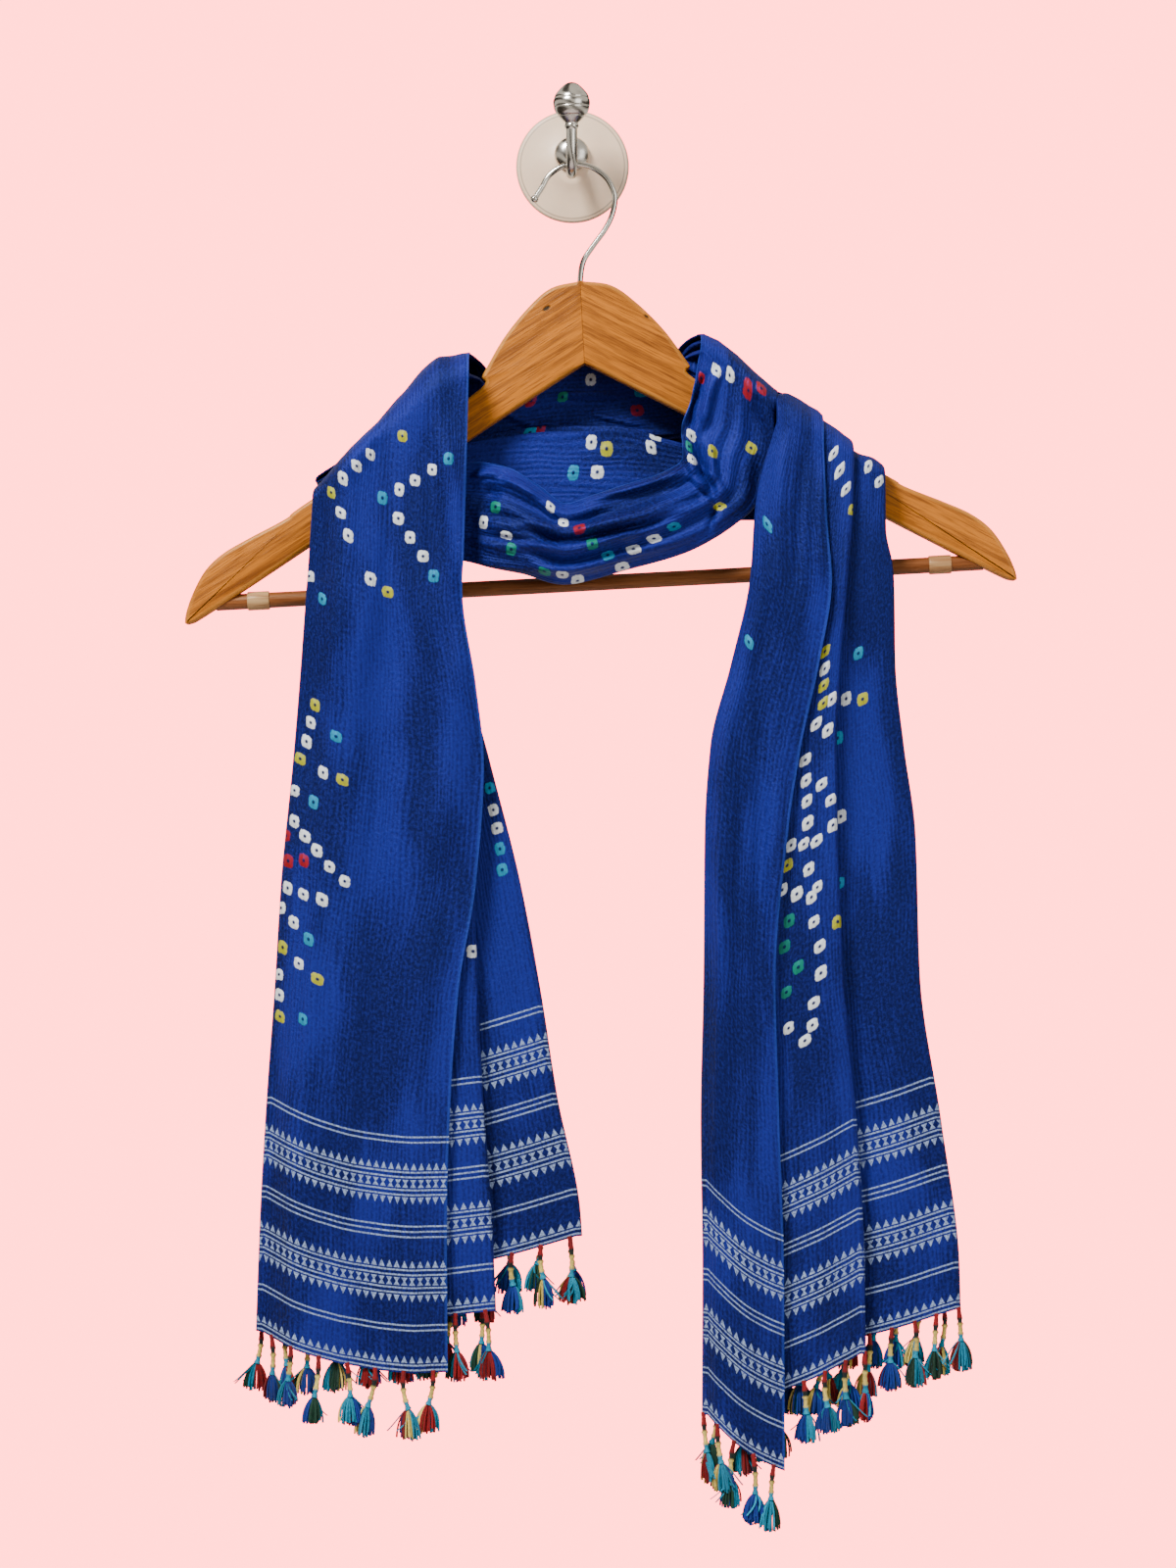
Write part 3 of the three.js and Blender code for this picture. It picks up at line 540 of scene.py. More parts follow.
def ridges(x, z, table):
    """Soft ridges and troughs on the face of the cloth. Each is a line from one point to another, bowed by an
    arc; its height falls as a soft hill to either side, and it fades in and out along its first and last part.
    Columns: x and z of its start, x and z of its end, bow to its left, half width, height, fade."""
    total = np.zeros(np.broadcast(x, z).shape)
    for x0, z0, x1, z1, bow, half, height, fade in table:
        long = math.hypot(x1 - x0, z1 - z0)
        wx, wz = (x1 - x0) / long, (z1 - z0) / long
        along = ((x - x0) * wx + (z - z0) * wz) / long
        aside = -(x - x0) * wz + (z - z0) * wx - bow * 4 * along * (1 - along)
        total += height * bump(aside / half) * ease(along / fade) * ease((1 - along) / fade)
    return total


def gathers(u, v, seed):
    """Soft gathers that run along the cloth: waves across it whose place and depth drift slowly along it."""
    rng = np.random.default_rng(seed)
    total = np.zeros(np.broadcast(u, v).shape)
    for pitch, weight in ((9.5, 0.3), (14, 0.35), (23, 0.35)):
        phase, turn, fade = rng.uniform(0, 2 * np.pi, 3)
        drift = 2.2 * np.sin(2 * np.pi * v / rng.uniform(150, 240) + turn)
        depth = 0.6 + 0.4 * np.sin(2 * np.pi * (v / rng.uniform(110, 170) + u / 90) + fade)
        total += weight * depth * np.sin(2 * np.pi * (u + drift) / pitch + phase)
    return total


def gather_depth():
    return bpy.context.scene.shawl_sizes.gather / MM


def along_sheet(sheet, from_end=False):
    """Length in mm along each column of a sheet of points, from its first row or from its last."""
    step = np.linalg.norm(np.diff(sheet, axis=0), axis=-1)
    run = np.concatenate([np.zeros((1, sheet.shape[1])), np.cumsum(step, 0)])
    return run[-1] - run if from_end else run


def across_sheet(sheet, row):
    """Length in mm across the sheet at one row, from its first column."""
    step = np.linalg.norm(np.diff(sheet[row], axis=0), axis=-1)
    return np.concatenate([[0], np.cumsum(step)])


def hem_height(tail, columns):
    """z of the hem at each column: straight from fold to fold, less a sag of half a sine wave."""
    layer, along, _ = columns
    hem, sag = np.array(tail["hem"], float), np.array(tail["sag"], float)
    return hem[layer] + (hem[layer + 1] - hem[layer]) * along - sag[layer] * np.sin(np.pi * along)


def tail_sheet(tail, counts, look):
    """The middle surface of a tail. Its rows go over the arm on a squared arch, level out, and fall to the
    hem; each is a folded section, moved out by creases that the layers share, by ridges on the front layer,
    and by soft gathers."""
    bend_rows, lean_rows, down_rows = TAIL_SPANS
    columns = fold_columns(counts)
    deg = np.concatenate([np.linspace(0, 90, bend_rows, endpoint=False), np.full(lean_rows + down_rows, 90)])
    lean = np.concatenate([np.ones(bend_rows), np.linspace(1, 0, lean_rows, endpoint=False), np.zeros(down_rows)])
    fall = np.concatenate([np.zeros(bend_rows + lean_rows), np.linspace(0, 1, down_rows)])
    deg, lean, fall = deg[:, None], lean[:, None], fall[:, None]
    hem = hem_height(tail, columns)
    z = tail["start"] + (hem - tail["start"]) * fall
    top = tail["rows"][0][0]
    table = curves(tail["rows"], np.where(lean > 0, tail["start"] + (top - tail["start"]) * lean, z))
    u, d = folded(table[..., :6], table[..., 6], columns)
    share = shares_of(TAIL_SHARES, columns)
    for above, below, half, height in tail["creases"]:
        place = above + (below - above) * fall
        d = d + share * height * bump((u - place) / half) * (0.6 + 0.4 * fall)
    wide, deep = tail["roll"]
    b = table[..., 1]
    d = d - np.where(u < b + wide, deep * table[..., 6] * (1 - ease((u - b) / wide)), 0)
    reach = curves(tail["rows"], z)[..., 7]
    y, up = over_arm(tail, FRONT, deg, reach, u, d)
    high = np.where(lean > 0, z + (lines(tail["axis"], u) - z) * lean, z) + up
    soft = gather_depth() * gathers(across_sheet(np.stack([u, d, d], -1), down_rows // 2 + bend_rows),
                                    z, len(counts) + int(abs(tail["start"])))
    first = bump((share - 1) / OUTER)
    y = y - (first * ridges(u, high, look) + soft * (0.4 + 0.6 * share)) * ease(deg / SETTLED)
    return np.stack([u, y, high], -1)


def bend(ends):
    """The rows of a wrap's bend over an arm, with both edges on the arm's axis."""
    arm, rows = ends or (None, ())
    return [(deg, xl, lines(arm["axis"], xl), xu, lines(arm["axis"], xu), *rest) for deg, xl, xu, *rest in rows]


def wrap_sheet(wrap, counts, rows, look, within):
    """The middle surface of a wrap. Its table of rows, with the bends over the shoulders at its ends, is read
    on smooth curves; a section runs from the lower to the upper edge and bulges by its swell. Ridges of the
    look raise its outer layer and troughs take every layer with them; within holds those of its inner layer."""
    table = [*bend(wrap["from"]), *((90, *row) for row in wrap["rows"]), *bend(wrap["to"])]
    last = len(table) - 1
    s = np.linspace(0, last, rows)
    deg, xl, zl, xu, zu, reach, pitch, swell = (
        c[:, None] for c in curves([(i, *row) for i, row in enumerate(table)], s).T)
    deg = np.clip(deg, 0, 90)
    columns = fold_columns(counts)
    wide = np.hypot(xu - xl, (zu - zl) * (1 - ease((90 - deg) / LEVELLED)))
    t = (s / last)[:, None]
    start, end = np.array(wrap["start"]), np.array(wrap["end"])
    turns = ((start + (end - start) * t) * wide)[:, None, :] + np.zeros((1, len(columns[0]), 1))
    u, d = folded(turns, pitch, columns)
    q = np.clip(u / wide, 0, 1)
    d = d + swell * SWELL * np.sin(np.pi * q)
    share = shares_of(wrap["shares"], columns)
    for above, below, half, height in wrap["creases"]:
        d = d + swell * share * height * bump((q - above - (below - above) * t) / half)
    x = xl + (xu - xl) * u / wide
    z = zl + (zu - zl) * u / wide
    y, up = HANG_Y + wrap["side"] * (reach + d), 0
    for ends, into in ((wrap["from"], s), (wrap["to"], last - s)):
        if ends:
            bent = (into < len(ends[1]) - 1)[:, None]
            arm_y, arm_up = over_arm(ends[0], wrap["side"], deg, reach, x, d)
            y = np.where(bent, arm_y, y)
            up = up + np.where(bent, arm_up, 0)
            z = np.where(bent, lines(ends[0]["axis"], x), z)
    soft = gather_depth() * gathers(u, s[:, None] * ROW_RUN, len(table))
    fold = ridges(x, z + up, look)
    fold = (bump((share - 1) / OUTER) * np.maximum(fold, 0) + np.minimum(fold, 0)
            - bump(share / INNER) * ridges(x, z + up, within))
    y = y + wrap["side"] * (fold + soft * (0.5 + 0.5 * share)) * ease(deg / SETTLED)
    return np.stack(np.broadcast_arrays(x, y, z + up), -1)


# ---- the tied dots ----
# A row of dots: mm across the cloth from its first selvedge and mm along it from its hem or start, the step to
# the next dot in both, and the colours of its dots, one letter each.
DOT_ROWS = {
    "left_tail": [
        (41, 493, 0, 0, "Y"), (62, 479, 8.3, -9.7, "WWWY"), (79, 442, -5.9, -10.6, "WW"), (101, 402, 0, 0, "W"),
        (89, 393, 0, 0, "T"), (11, 484, 10.5, -6.5, "TWWWT"), (42, 450, -8, -9.3, "WWWT"),
        (58, 414, -11.7, -4.2, "WY"), (90, 336, 2.4, -10.2, "YWWY"), (76, 325, 0, 0, "T"),
        (82, 303, -10.1, 0.5, "WY"), (99, 288, -11.9, -1.6, "WT"), (97, 272, -7.7, -5, "WWWWW"),
        (102, 263, -3.1, -12.8, "RR"), (89, 254, 0, 0, "R"), (98, 236, -10.5, 1, "WWW"),
        (102, 225, -9.9, -4.9, "WWT"), (99, 204, -11.5, -3.7, "YWY"), (100, 190, -1.1, -10.9, "WWY"),
        (82, 173, 0, 0, "T"), (411, 243, -1.2, -10.8, "TWWTT"), (217, 191, 0, 0, "W"),
        (150, 470, 9, -9, "TWWW"), (186, 443, 9, 9, "WWT"), (160, 330, 10, -5, "WWYW"),
        (160, 290, 10, 5, "WWGW"), (300, 450, 9, -9, "WWWT"), (336, 423, 9, 9, "WWY"),
        (440, 330, 8, -8, "YWWW"), (440, 300, 8, 8, "WWRW"), (520, 240, 0, -11, "WWTWW"),
    ],
    "right_tail": [
        (36, 479, 0, 0, "T"), (39, 415, 0, 0, "T"), (112, 487, 6.8, -13, "WWWY"), (277, 455, 11.1, -10.9, "WW"),
        (120, 378, 0.7, -9.6, "YWYY"), (128, 348, 0, 0, "W"), (260, 337, 11, -3, "WY"), (268, 359, 0, 0, "T"),
        (119, 340, 7, -7, "WW"), (254, 318, 0, 0, "T"), (112, 324, 0.9, -11.3, "WWWW"),
        (119, 278, -7.7, 2.5, "WWW"), (123, 306, 5, -11, "WW"), (254, 277, 0, 0, "W"), (129, 281, 0, 0, "W"),
        (101, 274, 13.3, -8.7, "YW"), (119, 254, 0, 0, "W"), (252, 242, 0, 0, "T"), (98, 262, 8.8, -6, "WWW"),
        (102, 244, 14.3, -7.2, "GWY"), (99, 232, 19.9, -9.8, "GW"), (106, 218, 13.3, -10.3, "GW"),
        (99, 208, 15.5, -12.9, "GW"), (99, 189, 13.3, -5.1, "WW"), (108, 178, 0, 0, "W"),
        (160, 440, 9, -9, "WWWT"), (196, 413, 9, 9, "WWY"), (180, 330, 10, -5, "WGW"),
        (330, 440, 9, -9, "WWWR"), (366, 413, 9, 9, "WWY"), (380, 300, 0, -11, "TWWWT"),
    ],
    "front_wrap": [
        (30, 217, 0, 0, "G"), (13, 186, 7, -9.8, "WWR"), (51, 205, 0, 0, "G"), (39, 224, 4.4, -15.4, "WW"),
        (39, 162, 11.9, -6, "GT"), (57, 185, 0, -9, "GW"), (62, 170, 0, 0, "W"), (52, 144, -3.7, -11.2, "WWT"),
        (61, 152, 0, 0, "W"), (18, 28, 11, -2, "WW"), (42, 26, 9, -6, "RR"), (7, 36, 0, 0, "R"),
        (11, 66, 0, 0, "W"), (28, 69, 20.4, -13.3, "YY"), (8, 74, 2.8, 6.2, "GW"), (48, 96, 0, 0, "Y"),
    ],
    "back_wrap_1": [
        (212, 129, 0, 0, "W"), (222, 113, 0, 0, "G"), (178, 126, 0, 0, "W"), (222, 157, 0, 0, "T"),
        (175, 168, 0, 0, "W"), (222, 94, 0, 0, "R"), (232, 153, 0, 0, "R"),
        (12, 60, 9, 9, "WWWT"), (12, 110, 9, 9, "YWWW"), (20, 160, 9, -9, "WWGW"), (14, 205, 10, -6, "WRW"),
    ],
    "back_wrap_2": [
        (24, 63, 0, 0, "R"), (84, 106, 0, 0, "W"), (154, 94, 0, 0, "W"), (151, 103, 0, 0, "Y"),
        (154, 129, 0, 0, "W"), (142, 86, 0, 12.2, "TW"), (10, 40, 8, 9, "WWT"), (8, 150, 8, -9, "WYW"),
    ],
}


def dots_on(name, across, along, stretch, corners, shawl):
    """For each face corner, its place in the nearest dot's own frame (half widths from its middle) and that
    dot's colour. A face takes the dot that is nearest to its middle, so the frame is unbroken inside a face.
    stretch is the cloth's real length over its measured one at each point, across and along, so that a dot
    keeps its size where the cloth is gathered."""
    tints = {"W": shawl.white, "Y": shawl.yellow, "T": shawl.turquoise, "G": shawl.green, "R": shawl.red}
    rng = np.random.default_rng(5)
    places, colours, spread = [], [], []
    for u, v, du, dv, letters in DOT_ROWS[name]:
        for k, letter in enumerate(letters):
            places.append((u + du * k + rng.uniform(-0.5, 0.5), v + dv * k + rng.uniform(-0.5, 0.5)))
            colours.append((*tints[letter], 1))
            spread.append(rng.uniform(0.84, 1.04, 2))
    at = np.stack([across[corners], along[corners]], -1)
    places, colours = np.array(places), np.array(colours)
    near = np.argmin(((at.mean(1)[:, None] - places[None]) ** 2).sum(-1), 1)
    under = np.argmin(((at[:, None, 0] - places[None]) ** 2).sum(-1), 0)
    size = 0.5 * shawl.dot / MM / np.sqrt(stretch[corners[under, 0]]) * np.array(spread)
    local = np.clip((at - places[near][:, None]) / size[near][:, None], -9, 9)
    return local.reshape(-1, 2), np.repeat(colours[near], 4, 0)


def build_cloth(name, sheet, across, along, shift, flat):
    """A stretch of the shawl as a thin closed shell, with its threads' directions and its dots on UV maps."""
    shawl = bpy.context.scene.shawl_sizes
    points, faces = shell(sheet, shawl.wall / MM)
    across, along = (np.broadcast_to(value, sheet.shape[:2]) for value in (across, along))
    u, v = (np.concatenate([value.ravel()] * 2) for value in (across, along))
    real = [np.linalg.norm(np.gradient(sheet, axis=a), axis=-1) for a in (1, 0)]
    said = [np.abs(np.gradient(value, axis=a)) for value, a in ((across, 1), (along, 0))]
    stretch = np.stack([np.clip(r / np.maximum(m, 1e-6), 0.4, 2).ravel() for r, m in zip(real, said)], -1)
    local, colours = dots_on(name, u, v, np.concatenate([stretch] * 2), faces, shawl)
    pile = Pile()
    pile.add(points, faces, Threads=np.stack([u, v + shift], -1) * MM, Dot=local, Dye=colours)
    silk = bpy.data.materials.get("crinkled_silk") or silk_material(shawl)
    made = pile.mesh(name + "_cloth", silk, sharp=60)
    settle(made, name)


# ---- shader building ----
def sign(operation, turned_round=False):
    """A method that places one maths node on its own value and, where there is one, another."""
    def place(self, other=None):
        return self.nodes.maths(operation, *((other, self) if turned_round else (self, other)))
    return place


class Value:
    """A socket of a node tree that takes plain arithmetic."""

    def __init__(self, nodes, socket):
        self.nodes, self.socket = nodes, socket

    __add__ = __radd__ = sign("ADD")
    __mul__ = __rmul__ = sign("MULTIPLY")
    __sub__, __rsub__ = sign("SUBTRACT"), sign("SUBTRACT", turned_round=True)
    __truediv__, __pow__, __abs__ = sign("DIVIDE"), sign("POWER"), sign("ABSOLUTE")
    sine, fraction, root, most = sign("SINE"), sign("FRACT"), sign("SQRT"), sign("MAXIMUM")

    def ramp(self, low, high):
        """0 below low, 1 above high, smooth between."""
        return self.nodes.values("ShaderNodeMapRange", {"Value": self, "From Min": low, "From Max": high},
                                 interpolation_type="SMOOTHSTEP")[0]

    def near(self, centre, half, soft):
        """1 where the value is within half of the centre, with a soft edge."""
        return 1 - abs(self - centre).ramp(half - soft, half + soft)


class Nodes:
    """A short way to place nodes in a tree and join them."""

    def __init__(self, tree):
        self.tree = tree

    def add(self, kind, inputs=None, **settings):
        node = self.tree.nodes.new(kind)
        for name, value in settings.items():
            setattr(node, name, value)
        return self.feed(node, inputs or {})

    def feed(self, node, inputs):
        """Joins each input to a value, or sets it where the value is a constant."""
        for key, value in inputs.items():
            if isinstance(value, Value):
                self.tree.links.new(value.socket, node.inputs[key])
            elif value is not None:
                node.inputs[key].default_value = value
        return node

    def values(self, kind, inputs=None, **settings):
        return [Value(self, socket) for socket in self.add(kind, inputs, **settings).outputs]

    def use(self, tree, *inputs):
        """The outputs of a node group whose inputs are given in order."""
        return self.values("ShaderNodeGroup", dict(enumerate(inputs)), node_tree=tree)

    def maths(self, operation, *values):
        return self.values("ShaderNodeMath", dict(enumerate(values)), operation=operation)[0]

    def mix(self, factor, a, b):
        a, b = (value if isinstance(value, Value) else (*value, 1) for value in (a, b))
        return self.values("ShaderNodeMix", {0: factor, 6: a, 7: b}, data_type="RGBA")[2]

    def noise(self, vector, detail=2.0, rough=0.5, swirl=0.0, scale=1.0):
        return self.values("ShaderNodeTexNoise", {"Vector": vector, "Scale": scale, "Detail": detail,
                                                  "Roughness": rough, "Distortion": swirl})[0]

    def place(self, kind="Object", scale=(1, 1, 1), turn=(0, 0, 0)):
        """The texture coordinate, turned and scaled."""
        where = Value(self, self.add("ShaderNodeTexCoord").outputs[kind])
        return self.scaled(where, scale, turn)

    def scaled(self, vector, scale, turn=(0, 0, 0)):
        return self.values("ShaderNodeMapping", {"Vector": vector, "Scale": scale, "Rotation": turn})[0]

    def apart(self, vector):
        return self.values("ShaderNodeSeparateXYZ", {"Vector": vector})

    def uv(self, name):
        return self.apart(self.values("ShaderNodeUVMap", uv_map=name)[0])[:2]

    def colour(self, name):
        return self.values("ShaderNodeVertexColor", layer_name=name)[0]

    def bumped(self, height, distance):
        return self.values("ShaderNodeBump", {"Height": height, "Distance": distance, "Strength": 1.0})[0]


KINDS = {"Vector": "NodeSocketVector", "Light": "NodeSocketColor", "Dark": "NodeSocketColor",
         "Colour": "NodeSocketColor"}


def group(name, inputs, outputs, build):
    """A shader node group, made once: the names of its inputs and outputs, and what makes one of the other."""
    if name in bpy.data.node_groups:
        return bpy.data.node_groups[name]
    tree = bpy.data.node_groups.new(name, "ShaderNodeTree")
    for texts, way in ((inputs, "INPUT"), (outputs, "OUTPUT")):
        for text in texts:
            tree.interface.new_socket(text, in_out=way, socket_type=KINDS.get(text, "NodeSocketFloat"))
    nodes = Nodes(tree)
    given = nodes.values("NodeGroupInput")[:len(inputs)]
    nodes.add("NodeGroupOutput", dict(zip(outputs, build(nodes, *given))))
    return tree


LINE = (0.42, 0.28)               # half width of a woven line and the softness of its edge, mm


def band_parts(nodes, across, from_middle):
    """A woven band, the same above and below its middle: a row of hourglasses, two lines, and a row of small
    triangles that point outwards."""
    away, aside = abs(from_middle), abs((across.fraction() - 0.5) * 4)
    hour = (away * 0.62 + 0.35 - aside).ramp(-0.15, 0.2) * away.near(0, 2.05, 0.2)
    tooth = ((11 - away) * 0.42 - aside).ramp(-0.15, 0.2) * away.near(9.1, 1.9, 0.2)
    return [hour.most(tooth).most(away.near(3.4, *LINE).most(away.near(5.95, *LINE)))]


def border_parts(nodes, across, height):
    """The border of a hem, by the distance from it in mm: single, double and triple lines, two bands, and a
    row of triangles with two lines along the hem. Its threads are uneven."""
    cells = across / 4
    aside = abs((cells.fraction() - 0.5) * 4)
    band = group("woven_band", ["Across", "From middle"], ["Thread"], band_parts)
    total = ((8.9 - height) * 0.42 - aside).ramp(-0.15, 0.2) * height.near(7, 1.8, 0.2)
    total = total.most(height.near(74.3, *LINE))
    for middle in (48.05, 99.6):
        total = total.most(nodes.use(band, cells, height - middle)[0])
    for middle, gap in ((2.7, 1.25), (23.65, 1.35), (74.3, 2.85), (122.75, 1.4)):
        total = total.most(abs(height - middle).near(gap, *LINE))
    place = nodes.values("ShaderNodeCombineXYZ", {"X": across * 1.1, "Y": height * 0.8})[0]
    return [total * (nodes.noise(place, 3.0, 0.7).ramp(0.34, 0.62) * 0.75 + 0.25)]


def dot_parts(nodes, x, y, uneven):
    """A tied dot, in half widths from its middle: a rounded square of clear colour, ragged at its edge, with a
    small dark eye and fine tied lines towards it."""
    away = (abs(x) ** 3.2 + abs(y) ** 3.2) ** (1 / 3.2) + (uneven - 0.5) * 0.5
    inside = 1 - away.ramp(0.86, 1.0)
    eye = (x * x + y * y).root().ramp(0.12, 0.36)
    return inside * (eye * 0.95 + 0.05), inside * (1 - eye), inside * (1 - away)


def crinkle_parts(nodes, across, along):
    """The crinkled weave, by mm across and along the cloth: fine ribs that run along it, drift, and come and go; a
    pebbled grain; and large soft clouds, which the silk's colour uses for a painted satin sheen."""
    def noise(a, b, *rest):
        return nodes.noise(nodes.values("ShaderNodeCombineXYZ", {"X": across * a, "Y": along * b})[0], *rest)

    wave = ((across / 2.3 + noise(0.055, 0.012) * 5.0) * (2 * math.pi)).sine() * 0.5 + 0.5
    streak = noise(0.5, 0.045, 3.0, 0.62, 0.25)
    ribs = wave * (streak * 0.8) + streak * 0.45
    fine = noise(0.72, 0.55, 3.0, 0.75)
    return ribs * 0.5 + fine * 0.85, ribs, fine, noise(0.026, 0.0085)


def new_material(name):
    material = bpy.data.materials.new(name)
    material.use_nodes = True
    return material, Nodes(material.node_tree), material.node_tree.nodes["Principled BSDF"]


def silk_material(shawl):
    """Crinkled blue silk with a woven border by its hem and tied dots, on the cloth's own UV maps. Its blue carries
    a painted satin sheen and painted highlights.
    """
    material, nodes, surface = new_material("crinkled_silk")
    across, along = (value * 1000 for value in nodes.uv("Threads"))
    height, ribs, fine, cloud = nodes.use(
        group("crinkle", ["Across", "Along"], ["Height", "Ribs", "Grain", "Cloud"], crinkle_parts), across, along)
    thread = nodes.use(group("hem_border", ["Across", "Height"], ["Thread"], border_parts), across, along)[0]
    clear, eye, raised = nodes.use(
        group("tied_dot", ["Across", "Along", "Uneven"], ["Clear", "Eye", "Raised"], dot_parts),
        *nodes.uv("Dot"), fine)
    grain = fine.ramp(0.42, 0.64)
    # The clouds in depth paint a satin sheen: large soft patches of lighter and darker blue. The ribs and grain in
    # it are the weave's own tone.
    depth = ribs * 0.5 + cloud.ramp(0.38, 0.62) * 0.4 + fine * 0.5
    base = nodes.mix(depth.ramp(0.42, 0.98), shawl.deep, shawl.blue)
    # Painted highlight: bright blue speckles on the pebbled grain, for the sparkle of the crinkled silk.
    base = nodes.mix(grain * 0.26, base, (0.020, 0.034, 0.32))
    # Painted highlight: a lighter blue strip along the first selvedge, fading out by 1.8 mm from it, where the edge
    # catches the light.
    base = nodes.mix((1 - across.ramp(0.8, 1.8)) * 0.3, base, (0.03, 0.08, 0.45))
    base = nodes.mix(thread, base, shawl.thread)
    dyed = nodes.mix(grain * 0.2, nodes.colour("Dye"), (0.01, 0.02, 0.05))
    base = nodes.mix(clear, base, dyed)
    base = nodes.mix(eye * 0.8, base, (0.003, 0.005, 0.02))
    nodes.feed(surface, {
        "Base Color": base, "Roughness": fine * 0.25 + 0.36, "Specular IOR Level": 0.55,
        "Specular Tint": (0.15, 0.22, 1.0, 1), "Sheen Weight": 0.08, "Sheen Roughness": 0.35,
        "Sheen Tint": (0.10, 0.18, 1.0, 1),
        "Normal": nodes.bumped(height + thread * 0.25 + raised * 1.2, shawl.crinkle * 2.2)})
    return material


def yarn_material():
    """Cotton threads that take their colour from the tassels' own colour attribute."""
    material, nodes, surface = new_material("tassel_yarn")
    fuzz = nodes.noise(nodes.place(scale=(2600, 2600, 500)), 2.0, 0.6)
    nodes.feed(surface, {
        "Base Color": nodes.mix(fuzz.ramp(0.35, 0.65) * 0.45, nodes.colour("Yarn"), (0.01, 0.01, 0.015)),
        "Roughness": 0.75, "Specular IOR Level": 0.25, "Sheen Weight": 0.08,
        "Normal": nodes.bumped(fuzz, 0.00025)})
    return material


def wood_parts(nodes, vector, light, dark, wear_and_highlight):
    """Varnished wood with its grain along x: long wavering streaks, fine pores, a few small pits, and a lighter gold
    on the edges where the wear_and_highlight value is high: partly rubbed wear, partly a painted highlight on the
    rounded rim."""
    streak = nodes.noise(nodes.scaled(vector, (12, 300, 300)), 4.0, 0.7, 0.5)
    pore = nodes.noise(nodes.scaled(vector, (55, 1500, 1500)), 2.0, 0.6)
    slow = nodes.noise(nodes.scaled(vector, (7, 30, 30)))
    pit = nodes.values("ShaderNodeTexVoronoi", {"Vector": nodes.scaled(vector, (28, 62, 62)), "Scale": 1.0})[0]
    pits = (1 - pit.ramp(0.045, 0.085)) * nodes.noise(vector, 0.0, scale=37).ramp(0.46, 0.5)
    colour = nodes.mix(streak.ramp(0.4, 0.66) * 0.66 + slow.ramp(0.3, 0.7) * 0.25, light, dark)
    colour = nodes.mix(pore.ramp(0.5, 0.66) * 0.62, colour, dark)
    # Lighter gold on the rounded edges: rubbed wear together with a painted highlight where the rim catches the
    # light.
    colour = nodes.mix(wear_and_highlight * slow.ramp(0.3, 0.6), colour, (0.64, 0.25, 0.035))
    return nodes.mix(pits, colour, (0.02, 0.008, 0.003)), streak * 0.24 + 0.30, pore * 0.5 - pits


def wood_material(name, light, dark, angle, worn_and_highlit=True):
    """Wood whose grain runs at an angle (radians) about y, with edge wear and a painted highlight on the edges from
    the board's own attribute.
    """
    material, nodes, surface = new_material(name)
    wear_and_highlight = nodes.values("ShaderNodeSeparateColor", {"Color": nodes.colour("Edge")})[0] if worn_and_highlit else 0.0
    wood = group("varnished_wood", ["Vector", "Light", "Dark", "Wear"], ["Colour", "Roughness", "Height"],
                 wood_parts)
    colour, rough, height = nodes.use(wood, nodes.place(turn=(0, angle, 0)), (*light, 1), (*dark, 1), wear_and_highlight)
    nodes.feed(surface, {
        "Base Color": colour, "Roughness": rough, "Specular IOR Level": 0.35,
        "Specular Tint": (1.0, 0.78, 0.5, 1), "Coat Weight": 0.05, "Coat Roughness": 0.18,
        "Normal": nodes.bumped(height, 0.0004)})
    return material


def darker(colour, by):
    """The colour times one number."""
    return tuple(by * c for c in colour)


def chrome_material(name, tone, rough):
    """Plated steel, lightly brushed and smudged."""
    material, nodes, surface = new_material(name)
    smudge = nodes.noise(nodes.place(scale=(90, 90, 90)), 3.0, 0.6)
    fine = nodes.noise(nodes.place(scale=(900, 900, 260)), 2.0, 0.6)
    nodes.feed(surface, {
        "Base Color": nodes.mix(smudge.ramp(0.3, 0.75), tone, darker(tone, 0.78)), "Metallic": 1,
        "Roughness": smudge.ramp(0.3, 0.8) * 0.14 + rough, "Normal": nodes.bumped(fine, 0.00003)})
    return material


def cup_material(hook):
    """Soft clear plastic, frosted: light passes through and spreads. Two thin darker rings of painted shade run
    round its lip.
    """
    material, nodes, surface = new_material("soft_clear_plastic")
    haze = nodes.noise(nodes.place(scale=(60, 60, 60)), 3.0, 0.55)
    apart = nodes.values("ShaderNodeVectorMath", {0: nodes.place(scale=(1000, 0, 1000))}, operation="LENGTH")[1]
    clear = nodes.mix(haze.ramp(0.3, 0.7), hook.cup, darker(hook.cup, 0.92))
    # Painted shade: two thin darker rings on the lip, where its curled edge looks dark.
    for middle, half, depth in ((28.2, 0.35, 0.75), (29.9, 0.3, 0.6)):
        clear = nodes.mix(apart.near(middle, half, 0.25) * depth, clear, darker(hook.cup, 0.4))
    nodes.feed(surface, {
        "Base Color": clear, "Roughness": haze * 0.2 + 0.28, "Transmission Weight": 0.05, "IOR": 1.46,
        "Subsurface Weight": 0.25, "Subsurface Radius": (0.01, 0.008, 0.006),
        "Normal": nodes.bumped(haze, 0.0002)})
    return material


